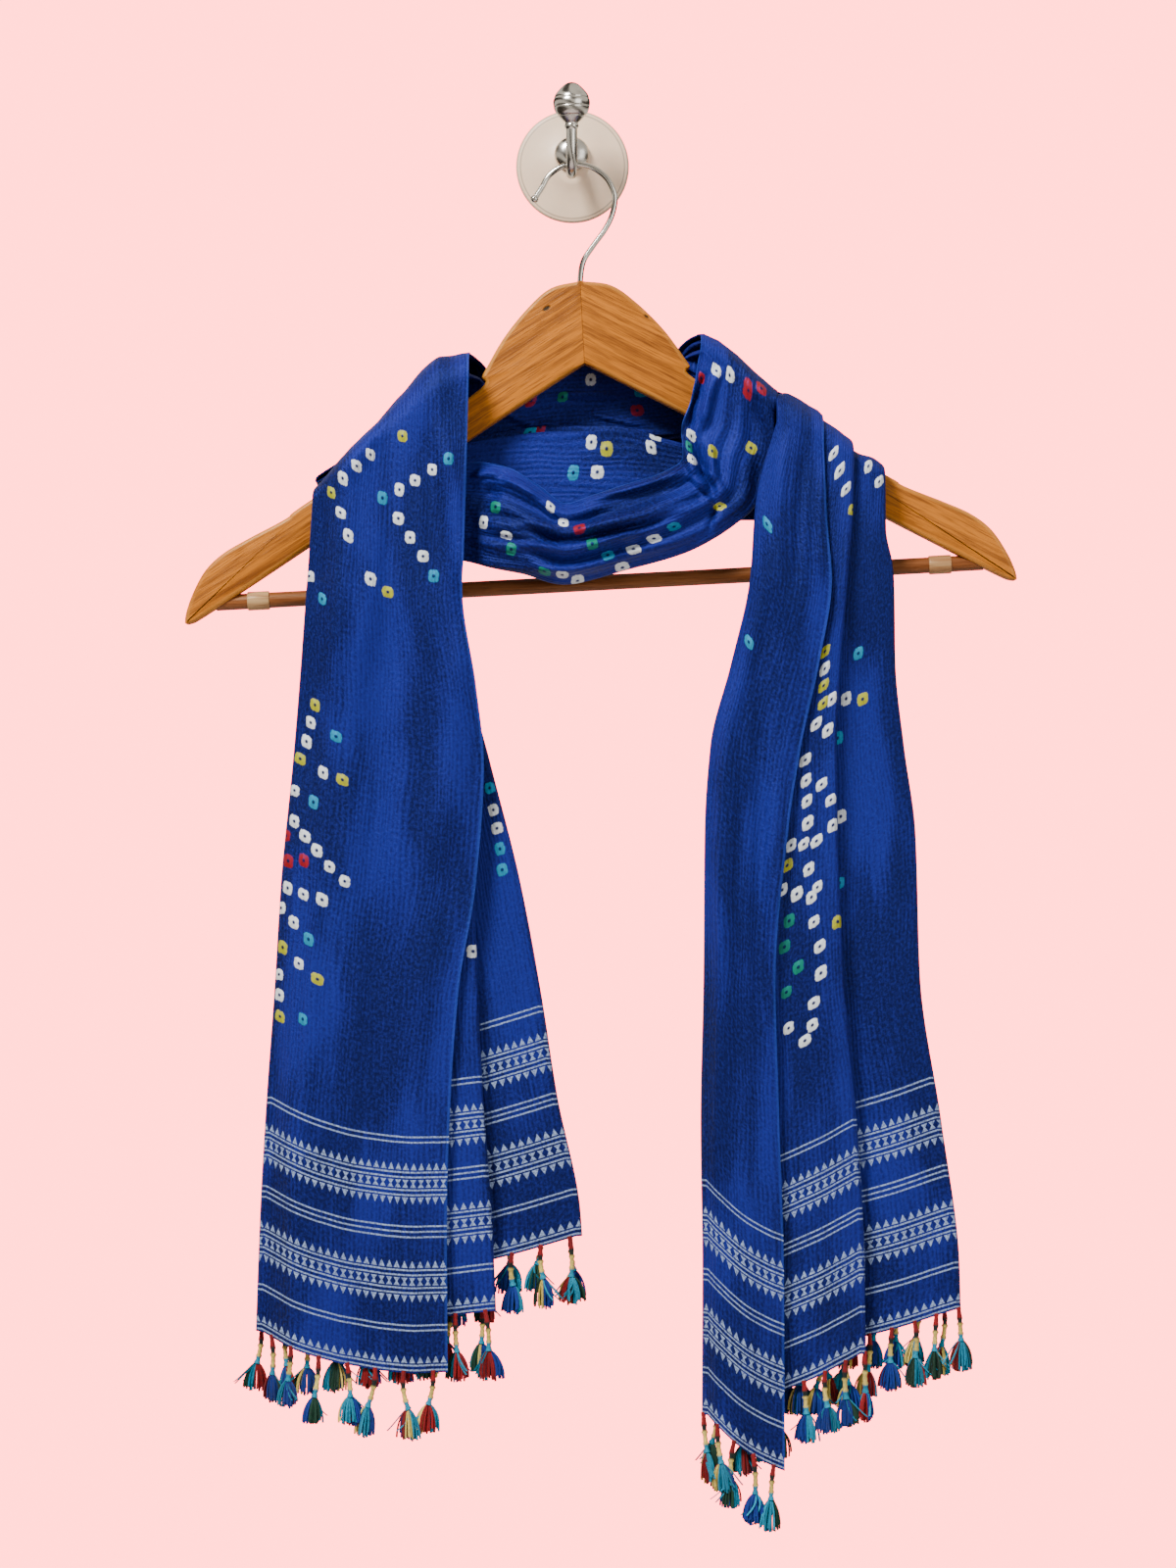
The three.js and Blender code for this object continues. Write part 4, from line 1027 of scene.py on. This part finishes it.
# ---- the pieces ----
# Soft folds, each a row for ridges().
SWAG_LOOK = [
    (-57, -160.8, -23.8, -165.5, 2.1, 5, 4.3, 0.2),
    (-29, -163.9, -1.5, -186.2, 1, 5, 4.6, 0.22),
    (-54.9, -172.7, -36.2, -172.2, 2.6, 3.6, 3.5, 0.35),
    (-39.3, -172.2, -15.5, -184.1, 1, 3.6, 3.2, 0.3),
    (-51.8, -190.4, -36.2, -175.8, 1, 7, -3.8, 0.4),
    (-3.5, -186.7, 61.3, -167, -1.6, 4.2, 5.2, 0.14),
    (8.4, -187.2, 57.1, -173.8, -1.6, 5, -3.8, 0.3),
    (2.2, -197.1, 72.7, -180.5, -2.6, 8, 2.6, 0.3),
    (-55.9, -193.5, 79.4, -181.5, -10.9, 4.6, 3.2, 0.2),
    (-57, -200.2, 61.3, -189.3, -10.4, 3.2, -1.9, 0.25),
    (-59, -203.3, 45.7, -194.5, -10.4, 4.4, 3.2, 0.22),
    (-57, -213.2, 32.2, -215.8, -6.7, 4.2, 2.3, 0.25),
    (71.6, -115.7, 62.8, -148.9, -2.6, 3, -4.6, 0.2),
    (62.3, -144.7, 75.3, -180.5, -1.6, 3, -4.9, 0.2),
    (74.2, -177.9, 71.1, -203.8, 1.6, 2.6, -2.9, 0.35),
    (67.5, -119.3, 56.6, -149.9, -2.6, 4.4, 4.1, 0.25),
    (56.6, -147.8, 71.1, -181.5, -1.6, 3.8, 4.3, 0.22),
    (60.7, -161.3, 75.3, -174.8, 1, 2.2, 2.3, 0.3),
    (58.7, -169.6, 74.2, -184.1, 1, 2.2, 2, 0.3),
    (64.4, -180, 76.3, -188.3, 0.5, 2.4, 2, 0.3),
    (79.9, -112.6, 70.1, -147.8, -2.6, 4.4, 3.5, 0.25),
    (70.1, -146.8, 81, -185.2, -1.6, 4.4, 3.2, 0.25),
    (92.4, -123, 97.6, -189.3, 2.1, 8, -2.3, 0.3),
    (85.1, -189.3, 60.2, -210.1, 2.1, 6, 2.3, 0.3),
    (91.3, -116.7, 112.1, -163.4, 2.6, 7, 2.6, 0.3),
]
BACK_LOOK = [
    (-28.5, -138.3, 56.9, -147.8, -1.1, 2.8, 3, 0.2),
    (7.3, -133.6, 41.6, -141, -1.1, 2.2, 2.2, 0.3),
    (-38, -147.8, 52.7, -156.3, -1.6, 3.2, 2.5, 0.25),
    (-12.7, -169.5, 49.5, -162.6, -1.6, 3.4, 2.4, 0.3),
    (-50.2, -128.9, -14.8, -144.7, 0.5, 2.8, 2.5, 0.3),
    (-12.7, -126.2, 29.5, -126.2, 1.6, 3, 2.1, 0.3),
    (13.6, -156.3, 55.8, -152.6, -1.1, 2.4, 2, 0.3),
]
LEFT_LOOK = [
    (-68.2, -135.2, -56.8, -251.7, 1, 9, 3.9, 0.3),
    (-80.6, -127.5, -71.3, -251.7, 1, 8, -2.1, 0.3),
    (-59.9, -236.2, -68.2, -388.8, 1.6, 15, 3.6, 0.3),
    (-91, -251.7, -97.2, -430.2, 1.6, 14, 2.2, 0.35),
    (-123.6, -231, -131.4, -489.8, -2.1, 12, -2, 0.3),
    (-109.6, -386.3, -120, -626.9, 2.1, 16, 2.1, 0.3),
    (-78.6, -438, -80.6, -642.4, 1.6, 10, -1.7, 0.3),
    (-141.2, -272.4, -153.1, -603.6, -2.1, 9, 2.1, 0.3),
    (-88.9, -113, -127.2, -181.8, 2.1, 9, 2.2, 0.35),
    (-102.9, -163.7, -113.2, -293.1, 2.6, 10, 2, 0.35),
    (-131.4, -168.9, -135.5, -251.7, 0, 6, -1.5, 0.35),
]
RIGHT_LOOK = [
    (83.8, -251.8, 79.7, -572.2, -1.6, 9, 2.7, 0.3),
    (99.3, -210.5, 95.7, -623.9, 1.6, 7, -2, 0.3),
    (111.7, -140.7, 108.6, -257, -1.6, 6, 2.5, 0.3),
    (123.6, -148.4, 117.4, -241.5, -1, 5, -2, 0.3),
    (107.6, -282.8, 106.1, -665.3, 0, 6, 1.5, 0.3),
    (131.4, -158.8, 130.3, -241.5, 0, 4, 1.8, 0.3),
]
BACK_FOLDS = [                    # on the side towards the wall
    (-118, -135.0, 60, -118.0, 6, 7, 2.2, 0.2), (-112, -158.0, 70, -138.0, -5, 6, -1.2, 0.25),
    (-90, -122.0, 20, -112.0, 3, 5, 1.8, 0.3), (-70, -170.0, 40, -150.0, -6, 7, 2.0, 0.3),
    (-30, -136.0, 88, -120.0, 4, 5, 1.6, 0.3), (10, -146.0, 84, -134.0, -2, 4, 1.4, 0.3),
]
BACK_2_FOLDS = [
    (-95, -176.0, 60, -168.0, -4, 6, 1.6, 0.25), (-60, -160.0, 100, -172.0, 3, 5, 1.3, 0.3),
    (20, -184.0, 140, -180.0, -3, 5, 1.5, 0.3), (60, -160.0, 146, -172.0, 2, 5, 1.4, 0.3),
]


TAILS = (                         # name, table, columns in its layers, ridges, flat size, seed of its tassels
    ("left", LEFT, (50, 30, 26, 26, 26), LEFT_LOOK, (0.46, 0.54), 11),
    ("right", RIGHT, (30, 34, 28, 34, 28), RIGHT_LOOK, (0.42, 0.50), 12),
)
WRAPS = (                         # name, table, columns, rows, ridges outside and inside, flat size, mm to the hem
    ("back_wrap_1", BACK_1, (44, 8, 8, 8, 44), 190, BACK_FOLDS, BACK_LOOK, (0.27, 0.24), 600),
    ("front_wrap", FRONT_WRAP, (96, 8, 8, 8, 8), 270, SWAG_LOOK, [], (0.22, 0.28), 900),
    ("back_wrap_2", BACK_2, (34, 8, 8, 8, 24), 150, BACK_2_FOLDS, [], (0.20, 0.28), 1200),
)


class SHAWL_OT_tails(bpy.types.Operator):
    """Makes both hanging ends of the shawl"""

    bl_idname = "shawl.tails"
    bl_label = "Tails"

    def execute(self, context):
        for name, tail, counts, look, flat, _ in TAILS:
            sheet = tail_sheet(tail, counts, look)
            build_cloth(name + "_tail", sheet, across_sheet(sheet, TAIL_MEASURED), along_sheet(sheet, from_end=True),
                        0, flat)
        return {"FINISHED"}


class SHAWL_OT_wraps(bpy.types.Operator):
    """Makes the stretches that are wound round the hanger"""

    bl_idname = "shawl.wraps"
    bl_label = "Wraps"

    def execute(self, context):
        for name, wrap, counts, rows, look, within, flat, shift in WRAPS:
            sheet = wrap_sheet(wrap, counts, rows, look, within)
            build_cloth(name, sheet, across_sheet(sheet, rows // 2), along_sheet(sheet).mean(1)[:, None],
                        shift, flat)
        return {"FINISHED"}


YARNS = {
    "maroon": (0.27, 0.003, 0.004), "black": (0.006, 0.013, 0.009), "cream": (0.80, 0.60, 0.13),
    "turquoise": (0.003, 0.27, 0.42), "blue": (0.004, 0.032, 0.26), "green": (0.005, 0.045, 0.020),
}
CORD_BANDS = [(0.0, "maroon"), (0.3, "black"), (0.5, "cream"), (0.78, "turquoise")]
BUNCHES = [                       # colours round a tassel, and how much of it each takes
    (("blue", 0.5), ("turquoise", 0.75), ("green", 0.9), ("cream", 1.0)),
    (("green", 0.35), ("cream", 0.55), ("maroon", 0.75), ("turquoise", 1.0)),
    (("turquoise", 0.3), ("blue", 0.7), ("maroon", 0.9), ("cream", 1.0)),
    (("maroon", 0.3), ("blue", 0.65), ("green", 0.85), ("turquoise", 1.0)),
]
TASSELS = 38                      # tassels along one hem
THREADS = 60                      # threads in a tassel's bunch
CORD_LONG, SKIRT_LONG = 19, 17    # mean lengths of a tassel's cord and of its brush
CORD_R, KNOT_R = 1.2, 0.5         # radius of the cord, and what a knot adds to it
CORD_STEPS, CORD_SIDES = 19, 7
THREAD_STEPS = 7
ASTRAY = 0.06                     # share of the threads that stray


def yarn_colour(name, shade):
    """A yarn's colour times its shade, as four values."""
    return np.array([*(np.array(YARNS[name]) * shade), 1.0])


def tassel(pile, top, way, rng):
    """One tassel: a wrapped cord that hangs from the hem with a slight sway, knotted at each change of its four
    colours, and a brush of threads that opens below the last knot to cut, uneven ends. The brush is coloured
    in bunches round its axis, and a few threads stray out to one side."""
    depth, down = np.array([-way[1], way[0], 0.0]), np.array([0, 0, 1.0])
    cord, skirt = CORD_LONG * rng.uniform(0.86, 1.1), SKIRT_LONG * rng.uniform(0.92, 1.08)
    lean, bow = rng.normal(0, 2.0), rng.normal(0, 0.9)
    t = np.linspace(0, 1, CORD_STEPS)
    path = top + (CORD_R - (cord + CORD_R) * t)[:, None] * down
    path = path + way * (lean * t ** 2 + bow * np.sin(np.pi * t))[:, None] + depth * rng.normal(0, 0.5) * t[:, None]
    knots = sum(bump((t - at) / 0.07) for at, _ in CORD_BANDS[1:])
    wound = 0.12 * np.sin(np.linspace(0, 40, CORD_STEPS))
    radius = CORD_R + wound + KNOT_R * knots + 0.6 * ease((t - 0.86) / 0.14)
    colours = np.empty((CORD_STEPS, CORD_SIDES, 4))
    for start, name in CORD_BANDS:
        colours[t >= start - 1e-6] = yarn_colour(name, rng.uniform(0.8, 1.2))
    capped(pile, tube(path, radius, CORD_SIDES, depth), Yarn=colours.reshape(-1, 4))

    neck = path[-1] + CORD_R * down
    n, rows = THREADS, THREAD_STEPS
    turn = np.sort(rng.uniform(0, 2 * np.pi, n))
    rim = np.sqrt(rng.uniform(0.02, 1, n))
    order = (turn / (2 * np.pi) + rng.uniform(0, 1)) % 1
    wide, thick = rng.uniform(5.6, 7.6), rng.uniform(3.0, 4.2)
    s = np.linspace(0, 1, rows)
    astray = rng.uniform(0, 1, n) < ASTRAY
    drop = skirt * (1 - 0.12 * rim ** 2) * rng.uniform(0.84, 1.02, n) * np.where(astray, 0.8, 1)
    swell = (1 - (1 - s) ** 2.4) ** 0.85
    off = rng.normal(0, 0.45, (n, 2)) + np.stack([astray * rng.choice([-1, 1]) * rng.uniform(4, 8, n), 0 * drop], -1)
    side = (rim * np.cos(turn))[:, None] * wide * swell + off[:, :1] * s ** 2 + lean * 0.35 * s
    out = (rim * np.sin(turn))[:, None] * thick * swell + off[:, 1:] * s ** 2 * 0.5
    line = neck + side[..., None] * way + out[..., None] * depth - (drop[:, None] * s)[..., None] * down
    cos, sin = circle(3)
    ring = (0.42 + 0.2 * swell)[None, :, None, None] * (cos[:, None] * way + sin[:, None] * depth)
    end = (rows - 1) * 3
    first = (np.arange(n) * rows * 3)[:, None, None]
    quads = (grid_faces(rows, 3, closed=True)[:, ::-1] + first).reshape(-1, 4)
    caps = (np.array([[0, 1, 2], [end + 2, end + 1, end]]) + first).reshape(-1, 3)
    bunch = BUNCHES[rng.integers(len(BUNCHES))]
    names = [next(name for name, upto in bunch if o <= upto) for o in order]
    names = ["turquoise" if away else name for name, away in zip(names, astray)]
    tints = np.array([yarn_colour(name, rng.uniform(0.7, 1.3)) for name in names])
    tints = np.clip(np.repeat(tints, rows * 3, 0), 0, 1)
    pile.add(line[:, :, None] + ring, quads, Yarn=tints)
    pile.more(caps, Yarn=tints)


class SHAWL_OT_fringes(bpy.types.Operator):
    """Makes the tassels of both hems, evenly spaced along their folded edges"""

    bl_idname = "shawl.fringes"
    bl_label = "Fringes"

    def execute(self, context):
        yarn = yarn_material()
        for name, tail, counts, look, _, seed in TAILS:
            sheet = tail_sheet(tail, counts, look)
            edge, run = sheet[-1], across_sheet(sheet, -1)
            rng = np.random.default_rng(seed)
            pile = Pile()
            for k in range(TASSELS):
                at = run[-1] * (k + 0.5) / TASSELS
                i = int(np.clip(np.searchsorted(run, at), 1, len(run) - 1))
                t = (at - run[i - 1]) / (run[i] - run[i - 1])
                way = edge[i] - edge[i - 1]
                top = edge[i - 1] + way * t
                way[2] = 0
                tassel(pile, top, way / np.linalg.norm(way), rng)
            settle(pile.mesh(name + "_fringe_tassels", yarn, sharp=80), name + "_fringe")
        return {"FINISHED"}


def board_outline():
    """The right half's outline, smooth between its measured points, straight along the mitred joint."""
    edge = np.array(BOARD_EDGE, float)
    edge[:, 0] = np.maximum(edge[:, 0], JOINT)
    joint = np.stack([np.full(7, JOINT), np.linspace(edge[-1, 1], edge[0, 1], 9)[1:-1]], -1)
    return np.concatenate([spline(edge, 7), joint])


def snug(edge, out, radius):
    """The rounding at each point of an outline, made less where the outline turns too tightly for it: an inner
    edge may nowhere run back against the outer one."""
    step = np.roll(edge, -1, 0) - edge
    for _ in range(60):
        inner = edge - out * radius[:, None]
        back = ((np.roll(inner, -1, 0) - inner) * step).sum(1) < 0.25 * (step ** 2).sum(1)
        tight = back | np.roll(back, 1)
        if not tight.any():
            break
        radius = np.where(tight, 0.85 * radius, radius)
    return radius


def build_board(name, side, reach):
    """Half of the hanger: its outline carried through the board's thickness on quarter round edges, between two flat
    faces. The rounded edges take the more rubbed wear and painted highlight the nearer they come to the rim, but not
    at the joint."""
    hanger = bpy.context.scene.hanger_sizes
    edge = board_outline()
    n = len(edge)
    before, after = np.roll(edge, 1, 0), np.roll(edge, -1, 0)
    out = np.stack([before[:, 1] - after[:, 1], after[:, 0] - before[:, 0]], -1)
    out /= np.linalg.norm(out, axis=1, keepdims=True)
    area = np.sum(edge[:, 0] * after[:, 1] - after[:, 0] * edge[:, 1])
    out *= -1 if area > 0 else 1
    joint = edge[:, 0] <= JOINT + 1e-6
    out[joint] = [-1, 0]
    radius = snug(edge, out, np.where(joint, JOINT_ROUND, hanger.rounding / MM))
    turn = np.linspace(0, np.pi / 2, 7)[:, None]
    inset, half = radius * (1 - np.cos(turn)), BOARD / 2 - radius * (1 - np.sin(turn))
    inset, y = np.concatenate([inset[::-1], inset]), np.concatenate([-half[::-1], half])
    inner = edge - out * inset[..., None]
    points = hang(reach * inner[..., 0], inner[..., 1], HANG_Y + y).reshape(-1, 3)
    # How much rubbed wear and painted highlight each ring of the rounded edge takes, most at the rim.
    wear_and_highlight = 0.35 + 0.65 * np.cos(turn)
    shine = (np.concatenate([wear_and_highlight[::-1], wear_and_highlight]) * ~joint).ravel()
    ring = np.arange(n)[None]
    quads, *caps = outwards(points, [grid_faces(len(y), n, closed=True), ring[:, ::-1], ring + (len(y) - 1) * n])
    pile = Pile()
    pile.add(points, quads, Edge=np.stack([shine, shine, shine, np.ones(len(shine))], -1))
    for cap in caps:
        pile.more(cap, Edge=np.tile((0.0, 0.0, 0.0, 1.0), (n, 1)))
    wood = wood_material("varnished_wood_" + side, hanger.wood, hanger.grain,
                         math.radians(TILT - math.copysign(SLOPE, reach)))
    settle(pile.mesh(name + "_board", wood, sharp=40), name)


class SHAWL_OT_boards(bpy.types.Operator):
    """Makes the two halves of the wooden hanger"""

    bl_idname = "shawl.boards"
    bl_label = "Hanger boards"

    def execute(self, context):
        build_board("hanger_left", "left", -LEFT_SHORT)
        build_board("hanger_right", "right", 1)
        return {"FINISHED"}


def bar_rings(profile, sides=40):
    """Rings round the bar's axis: rows of x along the hanger and radius."""
    cos, sin = circle(sides)
    x, r = np.array(profile, float).T[..., None]
    return hang(np.repeat(x, sides, 1), BAR_Z + r * sin, HANG_Y + r * cos)


class SHAWL_OT_bar(bpy.types.Operator):
    """Makes the round bar with its two pale sleeves"""

    bl_idname = "shawl.bar"
    bl_label = "Bar"

    def execute(self, context):
        hanger, angle = context.scene.hanger_sizes, math.radians(TILT)
        x = np.linspace(-BAR_HALF * LEFT_SHORT, BAR_HALF, 90)
        wood = wood_material("bar_wood", hanger.bar, hanger.grain, angle, worn_and_highlit=False)
        rings = bar_rings(np.stack([x, BAR_R * (1 - 0.012 * np.sin(x / 31))], -1))
        settle(skin("hanger_bar_dowel", [rings], wood), "hanger_bar")
        pale = wood_material("sleeve_wood", hanger.sleeve, hanger.bar, angle, worn_and_highlit=False)
        low, high, r = SLEEVE
        hole, soft, small = BAR_R + 0.12, 0.5, 0.15
        for name, start, end in (("bar_sleeve_left", -high * LEFT_SHORT, -low * LEFT_SHORT),
                                 ("bar_sleeve_right", low, high)):
            points = bar_rings([(start, hole), (start, r - soft), (start + small, r - small), (start + soft, r),
                                (end - soft, r), (end - small, r - small), (end, r - soft), (end, hole)])
            rows, sides = points.shape[:2]
            points = points.reshape(-1, 3)
            pile = Pile()
            pile.add(points, *outwards(points, [grid_faces(rows + 1, sides, closed=True) % len(points)]))
            settle(pile.mesh(name + "_ring", pale), name)
        return {"FINISHED"}


class SHAWL_OT_wire(bpy.types.Operator):
    """Makes the wire hook of the hanger with its rounded tip"""

    bl_idname = "shawl.wire"
    bl_label = "Wire hook"

    def execute(self, context):
        line = spline(WIRE, 8)
        path = np.stack([CROWN[0] + line[:, 0], np.full(len(line), HANG_Y), CROWN[1] + line[:, 1]], -1)
        way = path[-1] - path[-2]
        long, middle, half, thick = WIRE_TIP
        tip = long * np.linspace(0, 1, 9)[1:]
        path = np.concatenate([path, path[-1] + way / np.linalg.norm(way) * tip[:, None]])
        ball = thick * np.sqrt(np.clip(1 - ((tip - middle) / half) ** 2, 0.01, 1))
        radius = np.concatenate([np.full(len(line), WIRE_R), ball])
        chrome = chrome_material("wire_chrome", context.scene.hanger_sizes.metal, 0.12)
        settle(skin("hanger_wire_hook", [tube(path, radius, 24)], chrome), "hanger_wire")
        return {"FINISHED"}


class SHAWL_OT_wall_hook(bpy.types.Operator):
    """Makes the suction cup, its boss, and the hook with its turned end"""

    bl_idname = "shawl.wall_hook"
    bl_label = "Wall hook"

    def execute(self, context):
        hook, hanger = context.scene.hook_sizes, context.scene.hanger_sizes
        cup = skin("wall_cup_disc", [turned(CUP_ROWS, 0, 0, 96)], cup_material(hook), sharp=50)
        settle(cup, "wall_cup")
        line = spline(HOOK_WAY, 7)
        path = np.stack([np.full(len(line), HOOK_X), line[:, 0], line[:, 1]], -1)
        z, r = spline(FINIAL, 3).T[..., None]
        cos, sin = circle(44)
        finial = np.stack(np.broadcast_arrays(HOOK_X + r * cos, HOOK_WAY[-1][0] + r * sin, z), -1)
        parts = [turned(BOSS_ROWS, HOOK_X, BOSS_Z, 56), tube(path, hook.hook_radius / MM, 28, (1, 0, 0)), finial]
        metal = skin("wall_hook_metal", parts, chrome_material("hook_chrome", hanger.metal, 0.2), sharp=50)
        settle(metal, "wall_hook")
        return {"FINISHED"}


# ---- the stage, in metres ----
SENSOR = 36                       # width of the camera's sensor, mm
CAMERA = (0.0084, -0.034, -0.3345)  # what the camera looks at, level and along +Y
LIT = (0.0, -0.04, -0.33)         # what the lights look at
LAMPS = (                         # name, which is also its power's, side of its square, and place
    ("key", 0.6, (-0.95, -1.45, 1.4)),
    ("fill", 1.4, (1.5, -1.7, 0.15)),
)
FLOOR = (-300.0, -1150.0)         # y and z of the floor's middle, mm
FLOOR_RINGS = (0.0001, 300, 600, 900)


def build_world(stage):
    """Soft light from all round, bands of light and dark for what mirrors them, and an even backdrop."""
    world = bpy.data.worlds.new("soft_studio")
    world.use_nodes = True
    nodes, light = Nodes(world.node_tree), world.node_tree.nodes["Background"]
    x, _, z = nodes.apart(nodes.place("Generated"))
    nodes.feed(light, {"Color": nodes.mix(z.ramp(-0.7, 0.8), (0.42, 0.40, 0.40), (1.0, 0.99, 0.98)),
                       "Strength": 0.36})
    room = nodes.mix((z * 7.5 + x * 5.5).sine().ramp(-0.35, 0.45), (0.05, 0.042, 0.032), (1.0, 0.95, 0.86))
    path, lit = nodes.add("ShaderNodeLightPath"), Value(nodes, light.outputs[0])
    for ray, colour, strength in (("Is Glossy Ray", room, 0.9), ("Is Camera Ray", (*stage.backdrop, 1), stage.glow)):
        seen = nodes.values("ShaderNodeBackground", {"Color": colour, "Strength": strength})[0]
        lit = nodes.values("ShaderNodeMixShader", {0: Value(nodes, path.outputs[ray]), 1: lit, 2: seen})[0]
    nodes.feed(world.node_tree.nodes["World Output"], {"Surface": lit})
    bpy.context.scene.world = world


class SHAWL_OT_stage(bpy.types.Operator):
    """Makes the camera, the soft lights, the backdrop colour and a floor"""

    bl_idname = "shawl.stage"
    bl_label = "Stage"

    def execute(self, context):
        stage, scene = context.scene.stage_sizes, context.scene
        data = bpy.data.cameras.new("camera")
        data.sensor_width, data.sensor_fit, data.clip_end = SENSOR, "AUTO", 30
        data.lens = SENSOR * stage.distance / stage.view
        camera = bpy.data.objects.new("camera", data)
        camera.location = np.array(CAMERA) - (0, stage.distance, 0)
        camera.rotation_euler = (math.pi / 2, 0, 0)
        scene.collection.objects.link(camera)
        scene.camera = camera
        for name, size, place in LAMPS:
            data = bpy.data.lights.new(name, "AREA")
            data.energy, data.shape, data.size, data.size_y = getattr(stage, name), "RECTANGLE", size, size
            made = bpy.data.objects.new(name, data)
            made.location, made.rotation_mode = place, "QUATERNION"
            made.rotation_quaternion = (Vector(LIT) - Vector(place)).to_track_quat("-Z", "Y")
            scene.collection.objects.link(made)
        build_world(stage)

        cos, sin = circle(96)
        r = np.array(FLOOR_RINGS)[:, None]
        pile = Pile()
        pile.add(np.stack(np.broadcast_arrays(r * cos, FLOOR[0] + r * sin, FLOOR[1]), -1),
                 grid_faces(len(r), len(cos), closed=True)[:, ::-1])
        material, nodes, surface = new_material("pale_floor")
        cloud = nodes.noise(nodes.place(), scale=6.0)
        nodes.feed(surface, {"Base Color": nodes.mix(cloud, stage.floor, darker(stage.floor, 0.96)),
                             "Roughness": 0.9})
        pile.mesh("floor", material)
        return {"FINISHED"}


class SHAWL_PT_panel(bpy.types.Panel):
    """Lists the sizes and the pieces"""

    bl_idname = "SHAWL_PT_panel"
    bl_label = "Shawl on a hanger"
    bl_space_type = "VIEW_3D"
    bl_region_type = "UI"
    bl_category = "Shawl"

    def draw(self, context):
        for group_name, (label, sizes) in GROUPS.items():
            box = self.layout.box()
            box.label(text=label)
            for name in sizes.__annotations__:
                box.prop(getattr(context.scene, group_name), name)
        for operator in OPERATORS:
            self.layout.operator(operator.bl_idname)


GROUPS = {
    "shawl_sizes": ("Shawl", ShawlSizes),
    "hanger_sizes": ("Hanger", HangerSizes),
    "hook_sizes": ("Wall hook", HookSizes),
    "stage_sizes": ("Stage", StageSizes),
}
OPERATORS = (SHAWL_OT_stage, SHAWL_OT_wall_hook, SHAWL_OT_wire, SHAWL_OT_boards, SHAWL_OT_bar, SHAWL_OT_tails,
             SHAWL_OT_wraps, SHAWL_OT_fringes)


def register():
    for name, (_, sizes) in GROUPS.items():
        bpy.utils.register_class(sizes)
        setattr(bpy.types.Scene, name, bpy.props.PointerProperty(type=sizes))
    for kind in (*OPERATORS, SHAWL_PT_panel):
        bpy.utils.register_class(kind)


def unregister():
    for kind in reversed((*OPERATORS, SHAWL_PT_panel)):
        bpy.utils.unregister_class(kind)
    for name, (_, sizes) in reversed(GROUPS.items()):
        delattr(bpy.types.Scene, name)
        bpy.utils.unregister_class(sizes)


def main():
    register()
    for operator in OPERATORS:
        kind, name = operator.bl_idname.split(".")
        getattr(getattr(bpy.ops, kind), name)()


if __name__ == "__main__":
    main()
